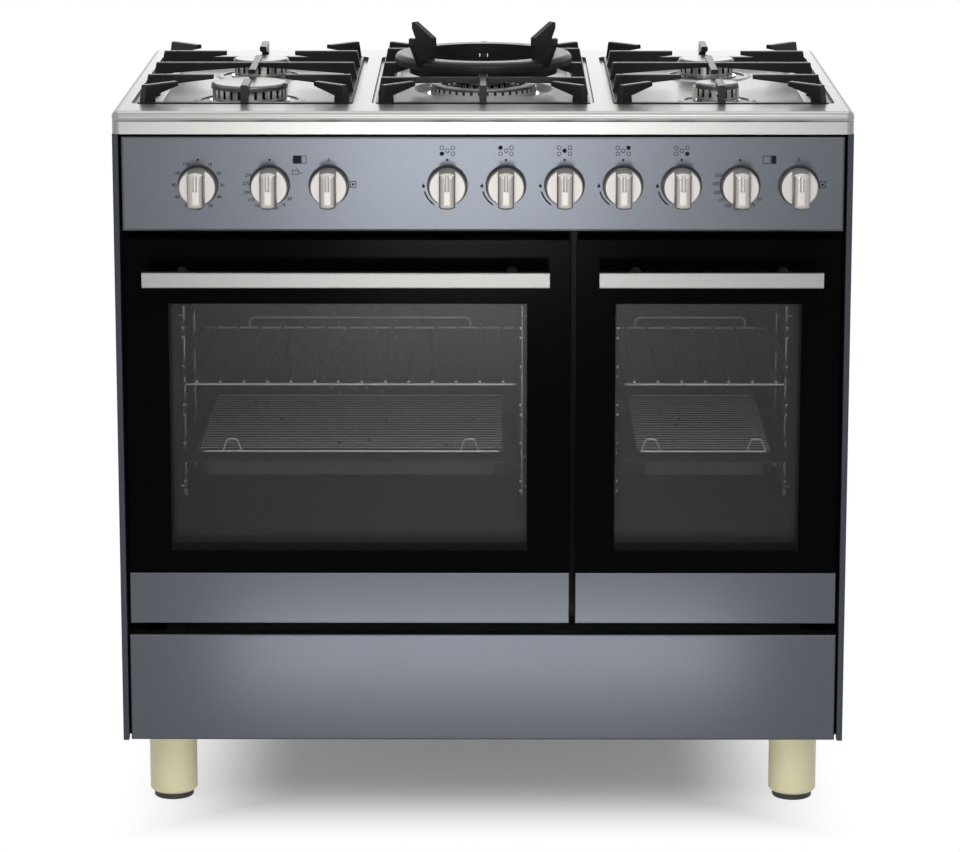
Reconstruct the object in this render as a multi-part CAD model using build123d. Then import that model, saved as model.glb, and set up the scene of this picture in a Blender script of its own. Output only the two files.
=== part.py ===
from build123d import *
import os
from math import cos, pi, radians, sin, sqrt

# Range cooker, 90 cm class: five-burner gas hob over two electric ovens and a storage drawer.
# Millimetres. X runs to the viewer's right, the front faces -Y, Z is up, and the floor is Z = 0.
# The origin is the bottom centre of the whole cooker, handles included.

# Overall sizes
cooker_width = 900.0
hob_depth = 600.0
foot_height = 8.0
leg_height = 85.0
lip_setback = 6.0
handle_reach = 57.0
sheet = 1.2
heavy_sheet = 2.0
touch_gap = 0.3

# Front layout, from the floor up
drawer_front_lift = 0.5
drawer_front_height = 137.0
drawer_door_gap = 14.5
door_height = 485.0
strip_height = 65.0
door_panel_gap = 9.5
panel_height = 118.2
panel_hob_gap = 2.3
band_height = 14.0
nose_height = 14.0

# Front layout, side to side
hem_width = 7.0
hem_depth = 12.0
panel_side_gap = 3.0
door_side_gap = 5.0
door_split_x = 111.0
door_gap = 7.2

# Doors
door_thickness = 40.0
glass_thickness = 4.0
gasket_space = 6.0
gasket_width = 9.0
main_window_margin = 53.0
side_window_margin = 48.0
window_bottom_margin = 28.5
window_top_margin = 80.0
inner_glass_margin = 14.0
handle_height = 19.0
handle_depth = 10.0
handle_post_radius = 7.0
handle_post_inset = 45.0
handle_end_margin = 26.5
handle_drop = 40.5
hinge_setback = 20.0
hinge_rise = 11.0
hinge_pin_radius = 4.0
hinge_ear_width = 10.0
hinge_arm_thickness = 6.0
hinge_arm_radius = 9.0
hinge_inset = 50.0
running_gap = 0.05
hinge_side_gap = 2.0

# Ovens
cavity_depth = 400.0
cavity_reveal = 2.0
cavity_floor_drop = 13.0
cavity_roof_rise = 16.0
cavity_flange = 12.0
wool_thickness = 25.0
rung_wire_radius = 1.5
upright_wire_radius = 2.0
rung_offset = 9.0
upright_offset = 6.5
rung_pair_gap = 12.5
rung_pitch = 49.5
rung_levels = 5
top_rung_drop = 76.0
ladder_length = 262.0
shelf_wire_radius = 1.9
shelf_rod_radius = 1.6
shelf_rod_pitch = 29.3
weld_sink = 0.8
shelf_side_offset = 10.8
shelf_setback = 6.0
shelf_length = 354.0
shelf_guard_height = 14.0
shelf_guard_share = 0.7
shelf_level = 1
tray_level = 3
tray_depth = 18.0
tray_flange = 12.0
tray_side_flange = 26.0
tray_setback = 8.0
tray_length = 350.0
trivet_wire_radius = 1.1
trivet_pitch = 13.5
trivet_margin = 15.0
trivet_rest = 4.0
trivet_foot_height = 8.0
trivet_foot_radius = 1.5
trivet_foot_inset = 40.0
trivet_handle_height = 16.0
trivet_handle_width = 24.0
trivet_handle_radius = 1.6
trivet_handle_share = 0.11
element_radius = 3.2
grill_drop = 24.0
grill_margin = 42.0
grill_bend = 24.0
grill_runs = 4
fan_radius = 70.0
fan_width = 20.0
fan_blades = 12
fan_hub_radius = 12.0
fan_shaft_radius = 4.0
fan_wall_gap = 9.0
fan_cover_radius = 100.0
fan_cover_depth = 36.0
fan_hole_radius = 2.6
fan_hole_rings = 5
fan_hole_ring_pitch = 14.0
ring_element_radius = 84.0
motor_radius = 38.0
motor_length = 45.0

# Control panel, taps and switches
panel_edge_radius = 3.5
panel_sheet = 1.5
knob_drop = 1.6
timer_x = -346.0
main_thermostat_x = -259.0
main_selector_x = -187.0
first_tap_x = -43.0
knob_pitch = 71.1
knob_radius = 22.5
knob_skirt_gap = 4.8
knob_skirt_depth = 15.0
knob_depth = 52.0
knob_grip_width = 19.5
knob_grip_round = 7.0
bezel_width = 1.8
bezel_height = 3.5
bezel_gap = 0.5
spindle_radius = 4.0
spindle_hole_radius = 6.5
spindle_in_knob = 13.0
tap_push = 4.0
tap_width = 28.0
tap_depth = 50.0
tap_rise = 18.0
tap_fall = 12.0
spindle_in_tap = 20.0
switch_width = 36.0
switch_depth = 44.0
switch_rise = 25.0
switch_fall = 11.0
rail_size = 18.0
rail_setback = 20.0
feed_pipe_radius = 4.0
feed_pipe_bend = 14.0
inlet_radius = 10.48
inlet_bore_radius = 7.0
inlet_length = 30.0
inlet_collar_length = 6.0
inlet_collar_width = 4.0

# Hob
nose_overhang = 3.0
nose_corner = 9.0
well_shift = -3.0
well_depth_y = 462.0
side_well_width = 278.0
centre_well_width = 274.0
web_width = 17.5
well_corner = 16.0
ledge_drop = 5.0
ledge_width = 24.0
bowl_drop = 7.0
bowl_taper = 40.0
dish_radius = 90.0
dish_drop = 15.0
dish_taper = 35.0
burner_spacing = 118.0
emboss_width = 9.0
emboss_height = 1.8
emboss_gap = 3.0

# Burners
rapid_cap_radius = 48.0
medium_cap_radius = 36.5
small_cap_radius = 27.0
cap_thickness = 7.0
crown_height = 15.0
crown_wall = 7.0
flame_slot_width = 3.6
flame_slot_floor = 4.5
flame_slot_pitch = 10.0
cup_flange_thickness = 2.5
cup_flange_margin = 4.0
cup_depth = 34.0
cup_clearance = 0.6
wok_ring_burner_radius = 68.0
wok_ring_burner_width = 14.0
wok_ring_burner_height = 9.0
wok_inner_crown_radius = 34.0
wok_cap_radius = 30.0
probe_radius = 2.2
probe_height = 17.0
probe_margin = 6.0

# Pan supports
grid_width = 264.0
grid_depth = 454.0
grid_rise = 22.0
grid_bar = 9.0
grid_rail_height = 6.0
grid_chamfer = 1.2
finger_root_depth = 14.0
finger_tip_depth = 5.5
finger_leg_width = 20.0
finger_leg_splay = 5.0
side_finger_length = 87.0
end_finger_length = 66.0
corner_finger_length = 56.0
inner_finger_length = 72.0
wok_bar_offset = 145.0
wok_bar_root_depth = 8.0
wok_end_finger_length = 155.0
wok_side_finger_length = 44.0
wok_ring_outer_radius = 113.5
wok_ring_inner_radius = 90.0
wok_ring_height = 13.0
wok_skirt_depth = 12.0
wok_skirt_wall = 5.0
wok_notch_clearance = 1.0
wok_fin_rise = 42.0
wok_fin_inner_rise = 23.5
wok_fin_outer_radius = 129.0
wok_fin_thickness = 8.0

# Body, legs and drawer
leg_radius = 30.0
leg_chamfer = 3.0
leg_floor = 6.0
leg_inset_x = 56.4
leg_inset_front = 75.0
leg_inset_back = 56.0
foot_radius = 25.0
foot_stem_radius = 6.0
foot_stem_length = 40.0
back_inset = 44.0
back_flange = 22.0
screw_head_radius = 4.5
screw_head_height = 2.4
screw_shank_radius = 2.0
screw_shank_length = 7.0
screw_rows = 4
vent_slot_length = 46.0
vent_slot_width = 5.0
vent_slot_pitch = 62.0
vent_slot_count = 11
drawer_front_depth = 18.0
drawer_edge_radius = 2.5
drawer_box_width = 808.0
drawer_box_height = 86.0
drawer_box_length = 455.0
runner_height = 33.0
runner_ledge = 11.0
runner_side_gap = 2.0
drawer_opening_margin = 16.0
terminal_width = 92.0
terminal_height = 70.0
terminal_depth = 32.0
terminal_x = -300.0
terminal_lift = 60.0
cable_bore_radius = 9.0

# Levels and planes that follow from the sizes above
half_width = cooker_width / 2
body_bottom = foot_height + leg_height
drawer_z0 = body_bottom + drawer_front_lift
drawer_z1 = drawer_z0 + drawer_front_height
door_z0 = drawer_z1 + drawer_door_gap
strip_z1 = door_z0 + strip_height
door_z1 = door_z0 + door_height
panel_z0 = door_z1 + door_panel_gap
panel_z1 = panel_z0 + panel_height
band_z0 = panel_z1 + panel_hob_gap
nose_z0 = band_z0 + band_height
rim_z = nose_z0 + nose_height
ledge_z = rim_z - ledge_drop
grid_top_z = rim_z + grid_rise
overall_depth = hob_depth + handle_reach - lip_setback
face_y = -overall_depth / 2 + handle_reach
lip_y = face_y - lip_setback
hob_back_y = lip_y + hob_depth
hob_mid_y = lip_y + hob_depth / 2 + well_shift
back_y = hob_back_y - back_inset
liner_back_y = face_y + door_thickness
frame_y = liner_back_y + gasket_space
cavity_y = frame_y + heavy_sheet
cavity_rear_y = cavity_y + cavity_depth
knob_z = (panel_z0 + panel_z1) / 2 - knob_drop
inner_x = half_width - sheet
panel_half_width = half_width - hem_width - panel_side_gap
door_edge_x = half_width - hem_width - door_side_gap
main_door_x = (-door_edge_x, door_split_x - door_gap / 2)
side_door_x = (door_split_x + door_gap / 2, door_edge_x)
window_z = (strip_z1 + window_bottom_margin, door_z1 - window_top_margin)
main_window_x = (main_door_x[0] + main_window_margin, main_door_x[1] - main_window_margin)
side_window_x = (side_door_x[0] + side_window_margin, side_door_x[1] - side_window_margin)
main_cavity_x = (main_window_x[0] - cavity_reveal, main_window_x[1] + cavity_reveal)
side_cavity_x = (side_window_x[0] - cavity_reveal, side_window_x[1] + cavity_reveal)
cavity_z = (window_z[0] - cavity_floor_drop, window_z[1] + cavity_roof_rise)
hinge_y = face_y + hinge_setback
hinge_z = door_z0 + hinge_rise
side_well_x = centre_well_width / 2 + web_width + side_well_width / 2
fan_x = (main_cavity_x[0] + main_cavity_x[1]) / 2
fan_z = (cavity_z[0] + cavity_z[1]) / 2
tap_x = [first_tap_x + knob_pitch * step for step in range(5)]
switch_x = [
    timer_x,
    main_thermostat_x,
    main_selector_x,
    first_tap_x + knob_pitch * 5,
    first_tap_x + knob_pitch * 6,
]
leg_places = [
    (side * (half_width - leg_inset_x), y)
    for y in (lip_y + leg_inset_front, back_y - leg_inset_back)
    for side in (-1, 1)
]
front_burner_y = hob_mid_y - burner_spacing
rear_burner_y = hob_mid_y + burner_spacing


def block(x, y, z):
    """A box from three (low, high) pairs."""
    size = Box(x[1] - x[0], y[1] - y[0], z[1] - z[0])
    return Pos((x[0] + x[1]) / 2, (y[0] + y[1]) / 2, (z[0] + z[1]) / 2) * size


def rod_x(x, y, z, radius):
    """A round bar along X, with x a (low, high) pair."""
    return Pos((x[0] + x[1]) / 2, y, z) * Rot(0, 90, 0) * Cylinder(radius, x[1] - x[0])


def rod_y(x, y, z, radius):
    """A round bar along Y, with y a (low, high) pair."""
    return Pos(x, (y[0] + y[1]) / 2, z) * Rot(90, 0, 0) * Cylinder(radius, y[1] - y[0])


def rod_z(x, y, z, radius):
    """A round bar along Z, with z a (low, high) pair."""
    return Pos(x, y, (z[0] + z[1]) / 2) * Cylinder(radius, z[1] - z[0])


def join(solids):
    """One solid from several that meet or cross."""
    return solids[0].fuse(*solids[1:]) if len(solids) > 1 else solids[0]


def grow(pair, margin):
    """A (low, high) pair made wider by a margin at both ends."""
    return (pair[0] - margin, pair[1] + margin)


def sorted_pair(a, b):
    """Two numbers as a (low, high) pair."""
    return (min(a, b), max(a, b))


def save(node, *shapes):
    """Write one node's solids to its own file."""
    solids = [solid for shape in shapes for solid in shape.solids()]
    shape = solids[0] if len(solids) == 1 else Compound(solids)
    export_step(shape, f"parts/{node}.step")


os.makedirs("parts", exist_ok=True)

# Side panels: folded sheet with a narrow hem at the front and a flange at the back
screw_z = [
    body_bottom + (band_z0 - body_bottom) * (row + 0.5) / screw_rows for row in range(screw_rows)
]
screw_x = half_width - back_flange / 2
panel_rear_y = back_y + 2 * sheet
screw_holes = [
    rod_y(side * screw_x, (back_y - sheet, panel_rear_y + sheet), z, screw_shank_radius)
    for side in (-1, 1)
    for z in screw_z
]


def side_panel(side):
    tall = (body_bottom, band_z0)
    web = block(sorted_pair(side * half_width, side * inner_x), (face_y, panel_rear_y), tall)
    hem = block(
        sorted_pair(side * half_width, side * (half_width - hem_width)), (face_y, face_y + sheet), tall
    )
    hook_x = side * (half_width - hem_width)
    hook = block(sorted_pair(hook_x, hook_x + side * sheet), (face_y, face_y + hem_depth), tall)
    flange = block(
        sorted_pair(side * half_width, side * (half_width - back_flange)),
        (panel_rear_y - sheet, panel_rear_y),
        tall,
    )
    panel = join([web, hem, hook, flange])
    corner = panel.edges().filter_by(Axis.Z).sort_by_distance(Vector(side * half_width, face_y, rim_z))
    panel = fillet(corner[0], sheet)
    return panel - screw_holes


save("side_panels", side_panel(-1), side_panel(1))

# Base tray: the floor of the body, with turned-up sides and the two drawer guide rails welded on
base_front_y = face_y + drawer_front_depth + gasket_space
base_top_z = body_bottom + sheet
base_floor = block((-inner_x, inner_x), (base_front_y, back_y), (body_bottom, base_top_z))
base_parts = [base_floor]
drawer_floor_z = base_top_z + runner_height + touch_gap
drawer_half = drawer_box_width / 2
runner_web_x = drawer_half + runner_side_gap
runner_y = (frame_y + heavy_sheet + gasket_space, frame_y + drawer_box_length)
for side in (-1, 1):
    lip_x = sorted_pair(side * inner_x, side * (inner_x - sheet))
    base_parts.append(block(lip_x, (cavity_y, back_y), (body_bottom, base_top_z + runner_height / 2)))
    web_x = sorted_pair(side * runner_web_x, side * (runner_web_x + sheet))
    base_parts.append(block(web_x, runner_y, (body_bottom, base_top_z + runner_height)))
    ledge_x = sorted_pair(side * (runner_web_x + sheet), side * (runner_web_x - runner_ledge))
    ledge_top = base_top_z + runner_height
    base_parts.append(block(ledge_x, runner_y, (ledge_top - sheet, ledge_top)))
save("base_tray", join(base_parts))

# Legs: round metal tubes under the body, with a thick floor that the levelling foot's stem runs through
legs = []
feet = []
for x, y in leg_places:
    leg = rod_z(x, y, (foot_height, body_bottom), leg_radius)
    leg = chamfer(leg.edges().group_by(Axis.Z)[0], leg_chamfer)
    stem_hole = rod_z(x, y, (foot_height, foot_height + leg_floor), foot_stem_radius)
    hollow = rod_z(x, y, (foot_height + leg_floor, body_bottom - heavy_sheet), leg_radius - heavy_sheet)
    legs.append(leg - stem_hole - hollow)
    pad = rod_z(x, y, (0, foot_height), foot_radius)
    pad = fillet(pad.edges().group_by(Axis.Z)[0], sheet)
    stem = rod_z(x, y, (foot_height, foot_height + foot_stem_length), foot_stem_radius - running_gap)
    feet.append(pad.fuse(stem))
save("legs", *legs)
save("levelling_feet", *feet)

# Front frame: the black plate behind the doors, with an opening for each oven and for the drawer
frame_z = (base_top_z, panel_z0)
frame_plate = block((-inner_x, inner_x), (frame_y, cavity_y), frame_z)
frame_shelf = block(
    (-inner_x, inner_x), (frame_y, cavity_y + gasket_space * 4), (panel_z0 - heavy_sheet, panel_z0)
)
drawer_opening_x = (-(runner_web_x + drawer_opening_margin), runner_web_x + drawer_opening_margin)
drawer_opening = block(
    drawer_opening_x,
    (frame_y - sheet, cavity_y + sheet),
    (base_top_z + heavy_sheet, drawer_z1 + drawer_door_gap / 2),
)
oven_openings = [
    block(x, (frame_y - sheet, cavity_y + sheet), cavity_z) for x in (main_cavity_x, side_cavity_x)
]
save("front_frame", join([frame_plate, frame_shelf]) - drawer_opening - oven_openings)

# Oven cavities: enamelled boxes, open at the front, with a flange that seats behind the front frame
rear_wall_y = (cavity_rear_y - sheet, cavity_rear_y + 2 * sheet)
fan_shaft_hole = rod_y(fan_x, rear_wall_y, fan_z, fan_shaft_radius + touch_gap)


def oven_cavity(x):
    shell = block(grow(x, sheet), (cavity_y, cavity_rear_y + sheet), grow(cavity_z, sheet))
    flange = block(grow(x, cavity_flange), (cavity_y, cavity_y + sheet), grow(cavity_z, cavity_flange))
    room = block(x, (cavity_y - sheet, cavity_rear_y), cavity_z)
    room = fillet(room.edges().filter_by(Axis.Y), cavity_flange)
    return shell.fuse(flange) - room


main_cavity = oven_cavity(main_cavity_x) - fan_shaft_hole
side_cavity = oven_cavity(side_cavity_x)
save("oven_cavities", main_cavity, side_cavity)

# Oven insulation: a mineral wool wrap round each cavity, with room for the fan motor
motor_room = rod_y(
    fan_x, (cavity_rear_y, cavity_rear_y + wool_thickness * 2), fan_z, motor_radius + touch_gap
)


def wool_wrap(x):
    wrap = block(
        grow(x, sheet + wool_thickness),
        (cavity_y + sheet, cavity_rear_y + sheet + wool_thickness),
        grow(cavity_z, sheet + wool_thickness),
    )
    return wrap - block(grow(x, sheet), (cavity_y, cavity_rear_y + sheet), grow(cavity_z, sheet))


save("oven_insulation", wool_wrap(main_cavity_x) - motor_room, wool_wrap(side_cavity_x))


# Oven gaskets: a seal round each opening that the closed door meets
def gasket(x):
    seal_y = (liner_back_y + touch_gap, frame_y)
    ring = block(grow(x, gasket_width * 1.5), seal_y, grow(cavity_z, gasket_width * 1.5))
    ring = fillet(ring.edges().filter_by(Axis.Y), gasket_width * 1.5)
    hole = block(grow(x, gasket_width / 2), seal_y, grow(cavity_z, gasket_width / 2))
    return ring - fillet(hole.edges().filter_by(Axis.Y), gasket_width / 2)


save("oven_gaskets", gasket(main_cavity_x), gasket(side_cavity_x))

# Shelf ladders: welded wire frames hooked to the oven's side walls, with pairs of shelf rungs
rung_z = [cavity_z[1] - top_rung_drop - rung_pitch * level for level in range(rung_levels)]
ladder_y0 = cavity_y + (cavity_depth - ladder_length) / 2
ladder_y = (ladder_y0, ladder_y0 + ladder_length)
upright_inset = rung_pitch
upright_z = (rung_z[-1] - rung_pitch / 2, rung_z[0] + rung_pitch / 2)


def shelf_ladder(wall_x, inward):
    upright_x = wall_x + inward * upright_offset
    wires = []
    for y in (ladder_y[0] + upright_inset, ladder_y[1] - upright_inset):
        wires.append(rod_z(upright_x, y, upright_z, upright_wire_radius))
        for z in (upright_z[0] + rung_pair_gap, upright_z[1] - rung_pair_gap):
            wires.append(rod_x(sorted_pair(wall_x, upright_x), y, z, upright_wire_radius * 0.8))
    for z in rung_z:
        for half_gap in (-rung_pair_gap / 2, rung_pair_gap / 2):
            wires.append(rod_y(wall_x + inward * rung_offset, ladder_y, z + half_gap, rung_wire_radius))
    return join(wires)


save(
    "shelf_ladders",
    *[
        shelf_ladder(wall_x, inward)
        for x in (main_cavity_x, side_cavity_x)
        for wall_x, inward in ((x[0], 1), (x[1], -1))
    ],
)

# Wire shelves and tray grids: chromed wire, resting on the rungs and on the trays
rung_top = rung_wire_radius - rung_pair_gap / 2 + touch_gap / 2
shelf_y = (cavity_y + shelf_setback, cavity_y + shelf_setback + shelf_length)


def wire_frame(x, y, z, wire_radius):
    """A closed rectangle of bent wire with round corners, through the middles of its wires."""
    outline = RectangleRounded(x[1] - x[0], y[1] - y[0], wire_radius * 4).wire()
    outline = Pos((x[0] + x[1]) / 2, (y[0] + y[1]) / 2, z) * outline
    return sweep(Plane(origin=outline @ 0, z_dir=outline % 0) * Circle(wire_radius), path=outline)


def bent_wire(corners, bend, wire_radius):
    """A round wire bent through the given corners."""
    path = FilletPolyline(*corners, radius=bend)
    return sweep(Plane(origin=path @ 0, z_dir=path % 0) * Circle(wire_radius), path=path)


def wire_shelf(x):
    z = rung_z[shelf_level] + rung_top + shelf_wire_radius
    sides = grow(x, -shelf_side_offset)
    wires = [wire_frame(sides, shelf_y, z, shelf_wire_radius)]
    width = sides[1] - sides[0]
    count = int(width // shelf_rod_pitch)
    first = (sides[0] + sides[1] - shelf_rod_pitch * (count - 1)) / 2
    rod_z_level = z + shelf_wire_radius + shelf_rod_radius - weld_sink
    for rod in range(count):
        wires.append(rod_y(first + rod * shelf_rod_pitch, shelf_y, rod_z_level, shelf_rod_radius))
    guard_x = grow(sides, -width * (1 - shelf_guard_share) / 2)
    guard_z = z + shelf_guard_height
    corners = [
        (guard_x[0], shelf_y[1], z),
        (guard_x[0], shelf_y[1], guard_z),
        (guard_x[1], shelf_y[1], guard_z),
        (guard_x[1], shelf_y[1], z),
    ]
    wires.append(bent_wire(corners, shelf_guard_height / 2, shelf_rod_radius))
    return join(wires)


tray_flange_z = rung_z[tray_level] + rung_top
tray_y = (cavity_y + tray_setback, cavity_y + tray_setback + tray_length)
grid_side_radius = trivet_wire_radius * 1.8


def tray_grid(x):
    rest_z = tray_flange_z + sheet + touch_gap / 2
    z = rest_z + trivet_foot_height + grid_side_radius
    sides = grow(x, -(rung_offset + tray_side_flange - trivet_rest))
    span_y = grow(tray_y, -trivet_margin)
    wires = [wire_frame(sides, span_y, z, grid_side_radius)]
    count = int((span_y[1] - span_y[0]) // trivet_pitch) - 1
    first = (span_y[0] + span_y[1] - trivet_pitch * (count - 1)) / 2
    for wire in range(count):
        wires.append(rod_x(sides, first + wire * trivet_pitch, z, trivet_wire_radius))
    for foot_x in sides:
        for foot_y in grow(span_y, -trivet_foot_inset):
            wires.append(rod_z(foot_x, foot_y, (rest_z, z), trivet_foot_radius))
    handle_inset = (sides[1] - sides[0]) * trivet_handle_share
    for centre in grow(sides, -handle_inset):
        half = trivet_handle_width / 2
        corners = [
            (centre - half, span_y[0], z),
            (centre - half / 2, span_y[0], z + trivet_handle_height),
            (centre + half / 2, span_y[0], z + trivet_handle_height),
            (centre + half, span_y[0], z),
        ]
        wires.append(bent_wire(corners, trivet_handle_height / 4, trivet_handle_radius))
    return join(wires)


save(
    "wire_shelves",
    wire_shelf(main_cavity_x),
    wire_shelf(side_cavity_x),
    tray_grid(main_cavity_x),
    tray_grid(side_cavity_x),
)


# Roasting trays: enamelled pans whose rims slide on the rungs
def roasting_tray(x):
    rim_x = grow(x, -rung_offset)
    rim = block(rim_x, tray_y, (tray_flange_z, tray_flange_z + sheet))
    pan_x = grow(rim_x, -tray_side_flange)
    pan_y = grow(tray_y, -tray_flange)
    pan = block(pan_x, pan_y, (tray_flange_z - tray_depth, tray_flange_z + sheet))
    pan = fillet(pan.edges().filter_by(Axis.Z), tray_flange)
    room = block(grow(pan_x, -sheet), grow(pan_y, -sheet), (tray_flange_z - tray_depth + sheet, rim_z))
    room = fillet(room.edges().filter_by(Axis.Z), tray_flange - sheet)
    rim = fillet(rim.edges().filter_by(Axis.Z), tray_flange)
    return rim.fuse(pan) - room


save("roasting_trays", roasting_tray(main_cavity_x), roasting_tray(side_cavity_x))


# Heating elements: a bent grill tube under each oven's roof and a ring round the fan
def grill_element(x):
    z = cavity_z[1] - grill_drop
    span = grow(x, -grill_margin)
    pitch = (span[1] - span[0]) / (grill_runs - 1)
    near_y = cavity_y + grill_margin
    far_y = cavity_rear_y - grill_margin
    corners = [(span[0], cavity_rear_y, z)]
    for run in range(grill_runs - 1):
        turn_y = near_y if run % 2 == 0 else far_y
        corners.append((span[0] + run * pitch, turn_y, z))
        corners.append((span[0] + (run + 1) * pitch, turn_y, z))
    corners.append((span[1], cavity_rear_y, z))
    path = FilletPolyline(*corners, radius=min(grill_bend, pitch * 0.48))
    return sweep(Plane(origin=path @ 0, z_dir=path % 0) * Circle(element_radius), path=path)


ring_y = cavity_rear_y - fan_cover_depth / 2
ring_leg_x = element_radius * 4
ring_leg_z = fan_z + sqrt(ring_element_radius**2 - ring_leg_x**2)
ring_element = Pos(fan_x, ring_y, fan_z) * Rot(90, 0, 0) * Torus(ring_element_radius, element_radius)
ring_legs = [
    rod_y(fan_x + side * ring_leg_x, (ring_y, cavity_rear_y), ring_leg_z, element_radius * 0.9)
    for side in (-1, 1)
]
save(
    "heating_elements",
    grill_element(main_cavity_x),
    grill_element(side_cavity_x),
    join([ring_element, *ring_legs]),
)

# Fan cover: a pressed pan on the rear wall, pierced with rings of round holes
cover_y = cavity_rear_y - fan_cover_depth
cover = rod_y(fan_x, (cover_y, cavity_rear_y), fan_z, fan_cover_radius)
cover_round = fan_cover_depth / 5
cover = fillet(cover.edges().group_by(Axis.Y)[0], cover_round)
cover_room = rod_y(fan_x, (cover_y + sheet, cavity_rear_y), fan_z, fan_cover_radius - sheet)
cover -= fillet(cover_room.edges().group_by(Axis.Y)[0], cover_round - sheet)
cover_holes = []
for ring in range(1, fan_hole_rings + 1):
    for step in range(6 * ring):
        turn = 2 * pi * step / (6 * ring)
        hole_x = fan_x + ring * fan_hole_ring_pitch * cos(turn)
        hole_z = fan_z + ring * fan_hole_ring_pitch * sin(turn)
        cover_holes.append(rod_y(hole_x, (cover_y - sheet, cover_y + 2 * sheet), hole_z, fan_hole_radius))
save("fan_cover", cover - cover_holes)

# Oven fan: a bladed wheel on a shaft that runs through the rear wall into the motor
fan_back_y = cavity_rear_y - fan_wall_gap
fan_front_y = fan_back_y - fan_width
motor_y = cavity_rear_y + sheet
fan_parts = [
    rod_y(fan_x, (fan_back_y - sheet, fan_back_y), fan_z, fan_radius),
    rod_y(fan_x, (fan_front_y, fan_back_y), fan_z, fan_hub_radius),
    rod_y(fan_x, (fan_front_y, motor_y + motor_length / 2), fan_z, fan_shaft_radius),
]
for blade in range(fan_blades):
    plate = block((fan_radius / 2, fan_radius - sheet), (fan_front_y, fan_back_y), (-sheet / 2, sheet / 2))
    fan_parts.append(Pos(fan_x, 0, fan_z) * Rot(0, 360 * blade / fan_blades, 0) * plate)
save("fan_impeller", join(fan_parts))

motor = rod_y(fan_x, (motor_y, motor_y + motor_length), fan_z, motor_radius)
motor -= rod_y(
    fan_x,
    (motor_y, motor_y + motor_length / 2 + touch_gap),
    fan_z,
    fan_shaft_radius + running_gap,
)
save("fan_motor", motor)

# Control panel: a folded steel front with a hole for each spindle
panel_back_y = cavity_y + gasket_space * 3
panel_x = (-panel_half_width, panel_half_width)
panel = block(panel_x, (face_y, panel_back_y), (panel_z0, panel_z1))
panel = fillet(panel.faces().sort_by(Axis.Y)[0].edges(), panel_edge_radius)
panel -= block(
    grow(panel_x, -panel_sheet),
    (face_y + panel_sheet, panel_back_y + sheet),
    (panel_z0 + panel_sheet, panel_z1 - panel_sheet),
)
panel -= [
    rod_y(x, (face_y - sheet, face_y + 2 * panel_sheet), knob_z, spindle_hole_radius)
    for x in tap_x + switch_x
]
save("control_panel", panel)

# Knob bezels: dark collars round the knobs' skirts
bezel_inner = knob_radius + bezel_gap
bezels = []
for x in switch_x + tap_x:
    ring = rod_y(x, (face_y - bezel_height, face_y), knob_z, bezel_inner + bezel_width)
    bezels.append(ring - rod_y(x, (face_y - bezel_height, face_y), knob_z, bezel_inner))
save("knob_bezels", *bezels)

# Knobs: a round skirt with a rounded grip bar across it and a pointer groove
tap_y = face_y + panel_sheet
knob_back_y = face_y - knob_skirt_gap
skirt_y = knob_back_y - knob_skirt_depth
knob_front_y = face_y - knob_depth
spindle_tip_y = knob_back_y - spindle_in_knob
groove_radius = knob_grip_width / 6
groove_depth = groove_radius / 2


def knob_body(x):
    skirt = rod_y(x, (skirt_y, knob_back_y), knob_z, knob_radius)
    skirt = fillet(skirt.edges().group_by(Axis.Y)[0], knob_grip_round / 4)
    grip = rod_y(x, (knob_front_y, skirt_y + knob_grip_round / 2), knob_z, knob_radius)
    half_grip = (x - knob_grip_width / 2, x + knob_grip_width / 2)
    grip &= block(half_grip, (knob_front_y, knob_back_y), grow((knob_z, knob_z), knob_radius))
    grip = fillet(grip.edges().group_by(Axis.Y)[0], knob_grip_round)
    groove_y = knob_front_y - groove_radius + groove_depth
    groove = rod_z(x, groove_y, (knob_z, knob_z + knob_radius), groove_radius)
    return skirt.fuse(grip) - groove


tap_burners = ["front_left", "rear_left", "wok", "rear_right", "front_right"]
for burner, x in zip(tap_burners, tap_x):
    socket = rod_y(x, (spindle_tip_y - touch_gap, knob_back_y), knob_z, spindle_radius + running_gap)
    save(f"{burner}_gas_knob", knob_body(x) - socket)
    save(
        f"{burner}_gas_spindle",
        rod_y(x, (spindle_tip_y, tap_y + spindle_in_tap), knob_z, spindle_radius),
    )

switch_knobs = [
    "timer_knob",
    "main_thermostat_knob",
    "main_selector_knob",
    "side_thermostat_knob",
    "side_selector_knob",
]
for node, x in zip(switch_knobs, switch_x):
    spindle = rod_y(x, (skirt_y, tap_y + spindle_in_tap), knob_z, spindle_radius)
    save(node, knob_body(x).fuse(spindle))

# Gas taps and oven switches: blocks behind the panel that take the spindles
spindle_bore = (tap_y, tap_y + spindle_in_tap + tap_push + touch_gap)
taps = []
switches = []
for x in tap_x:
    tap = block(
        grow((x, x), tap_width / 2), (tap_y, tap_y + tap_depth), (knob_z - tap_fall, knob_z + tap_rise)
    )
    taps.append(tap - rod_y(x, spindle_bore, knob_z, spindle_radius + running_gap))
for x in switch_x:
    body = block(
        grow((x, x), switch_width / 2),
        (tap_y, tap_y + switch_depth),
        (knob_z - switch_fall, knob_z + switch_rise),
    )
    switches.append(body - rod_y(x, spindle_bore, knob_z, spindle_radius + running_gap))
save("gas_valves", *taps)
save("oven_switches", *switches)

# Hob top: one pressed steel sheet with three wells, a deep dish for the wok burner and a rolled nose
well_z = ledge_z - bowl_drop
dish_z = ledge_z - dish_drop
well_places = [(-side_well_x, side_well_width), (0, centre_well_width), (side_well_x, side_well_width)]


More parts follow.
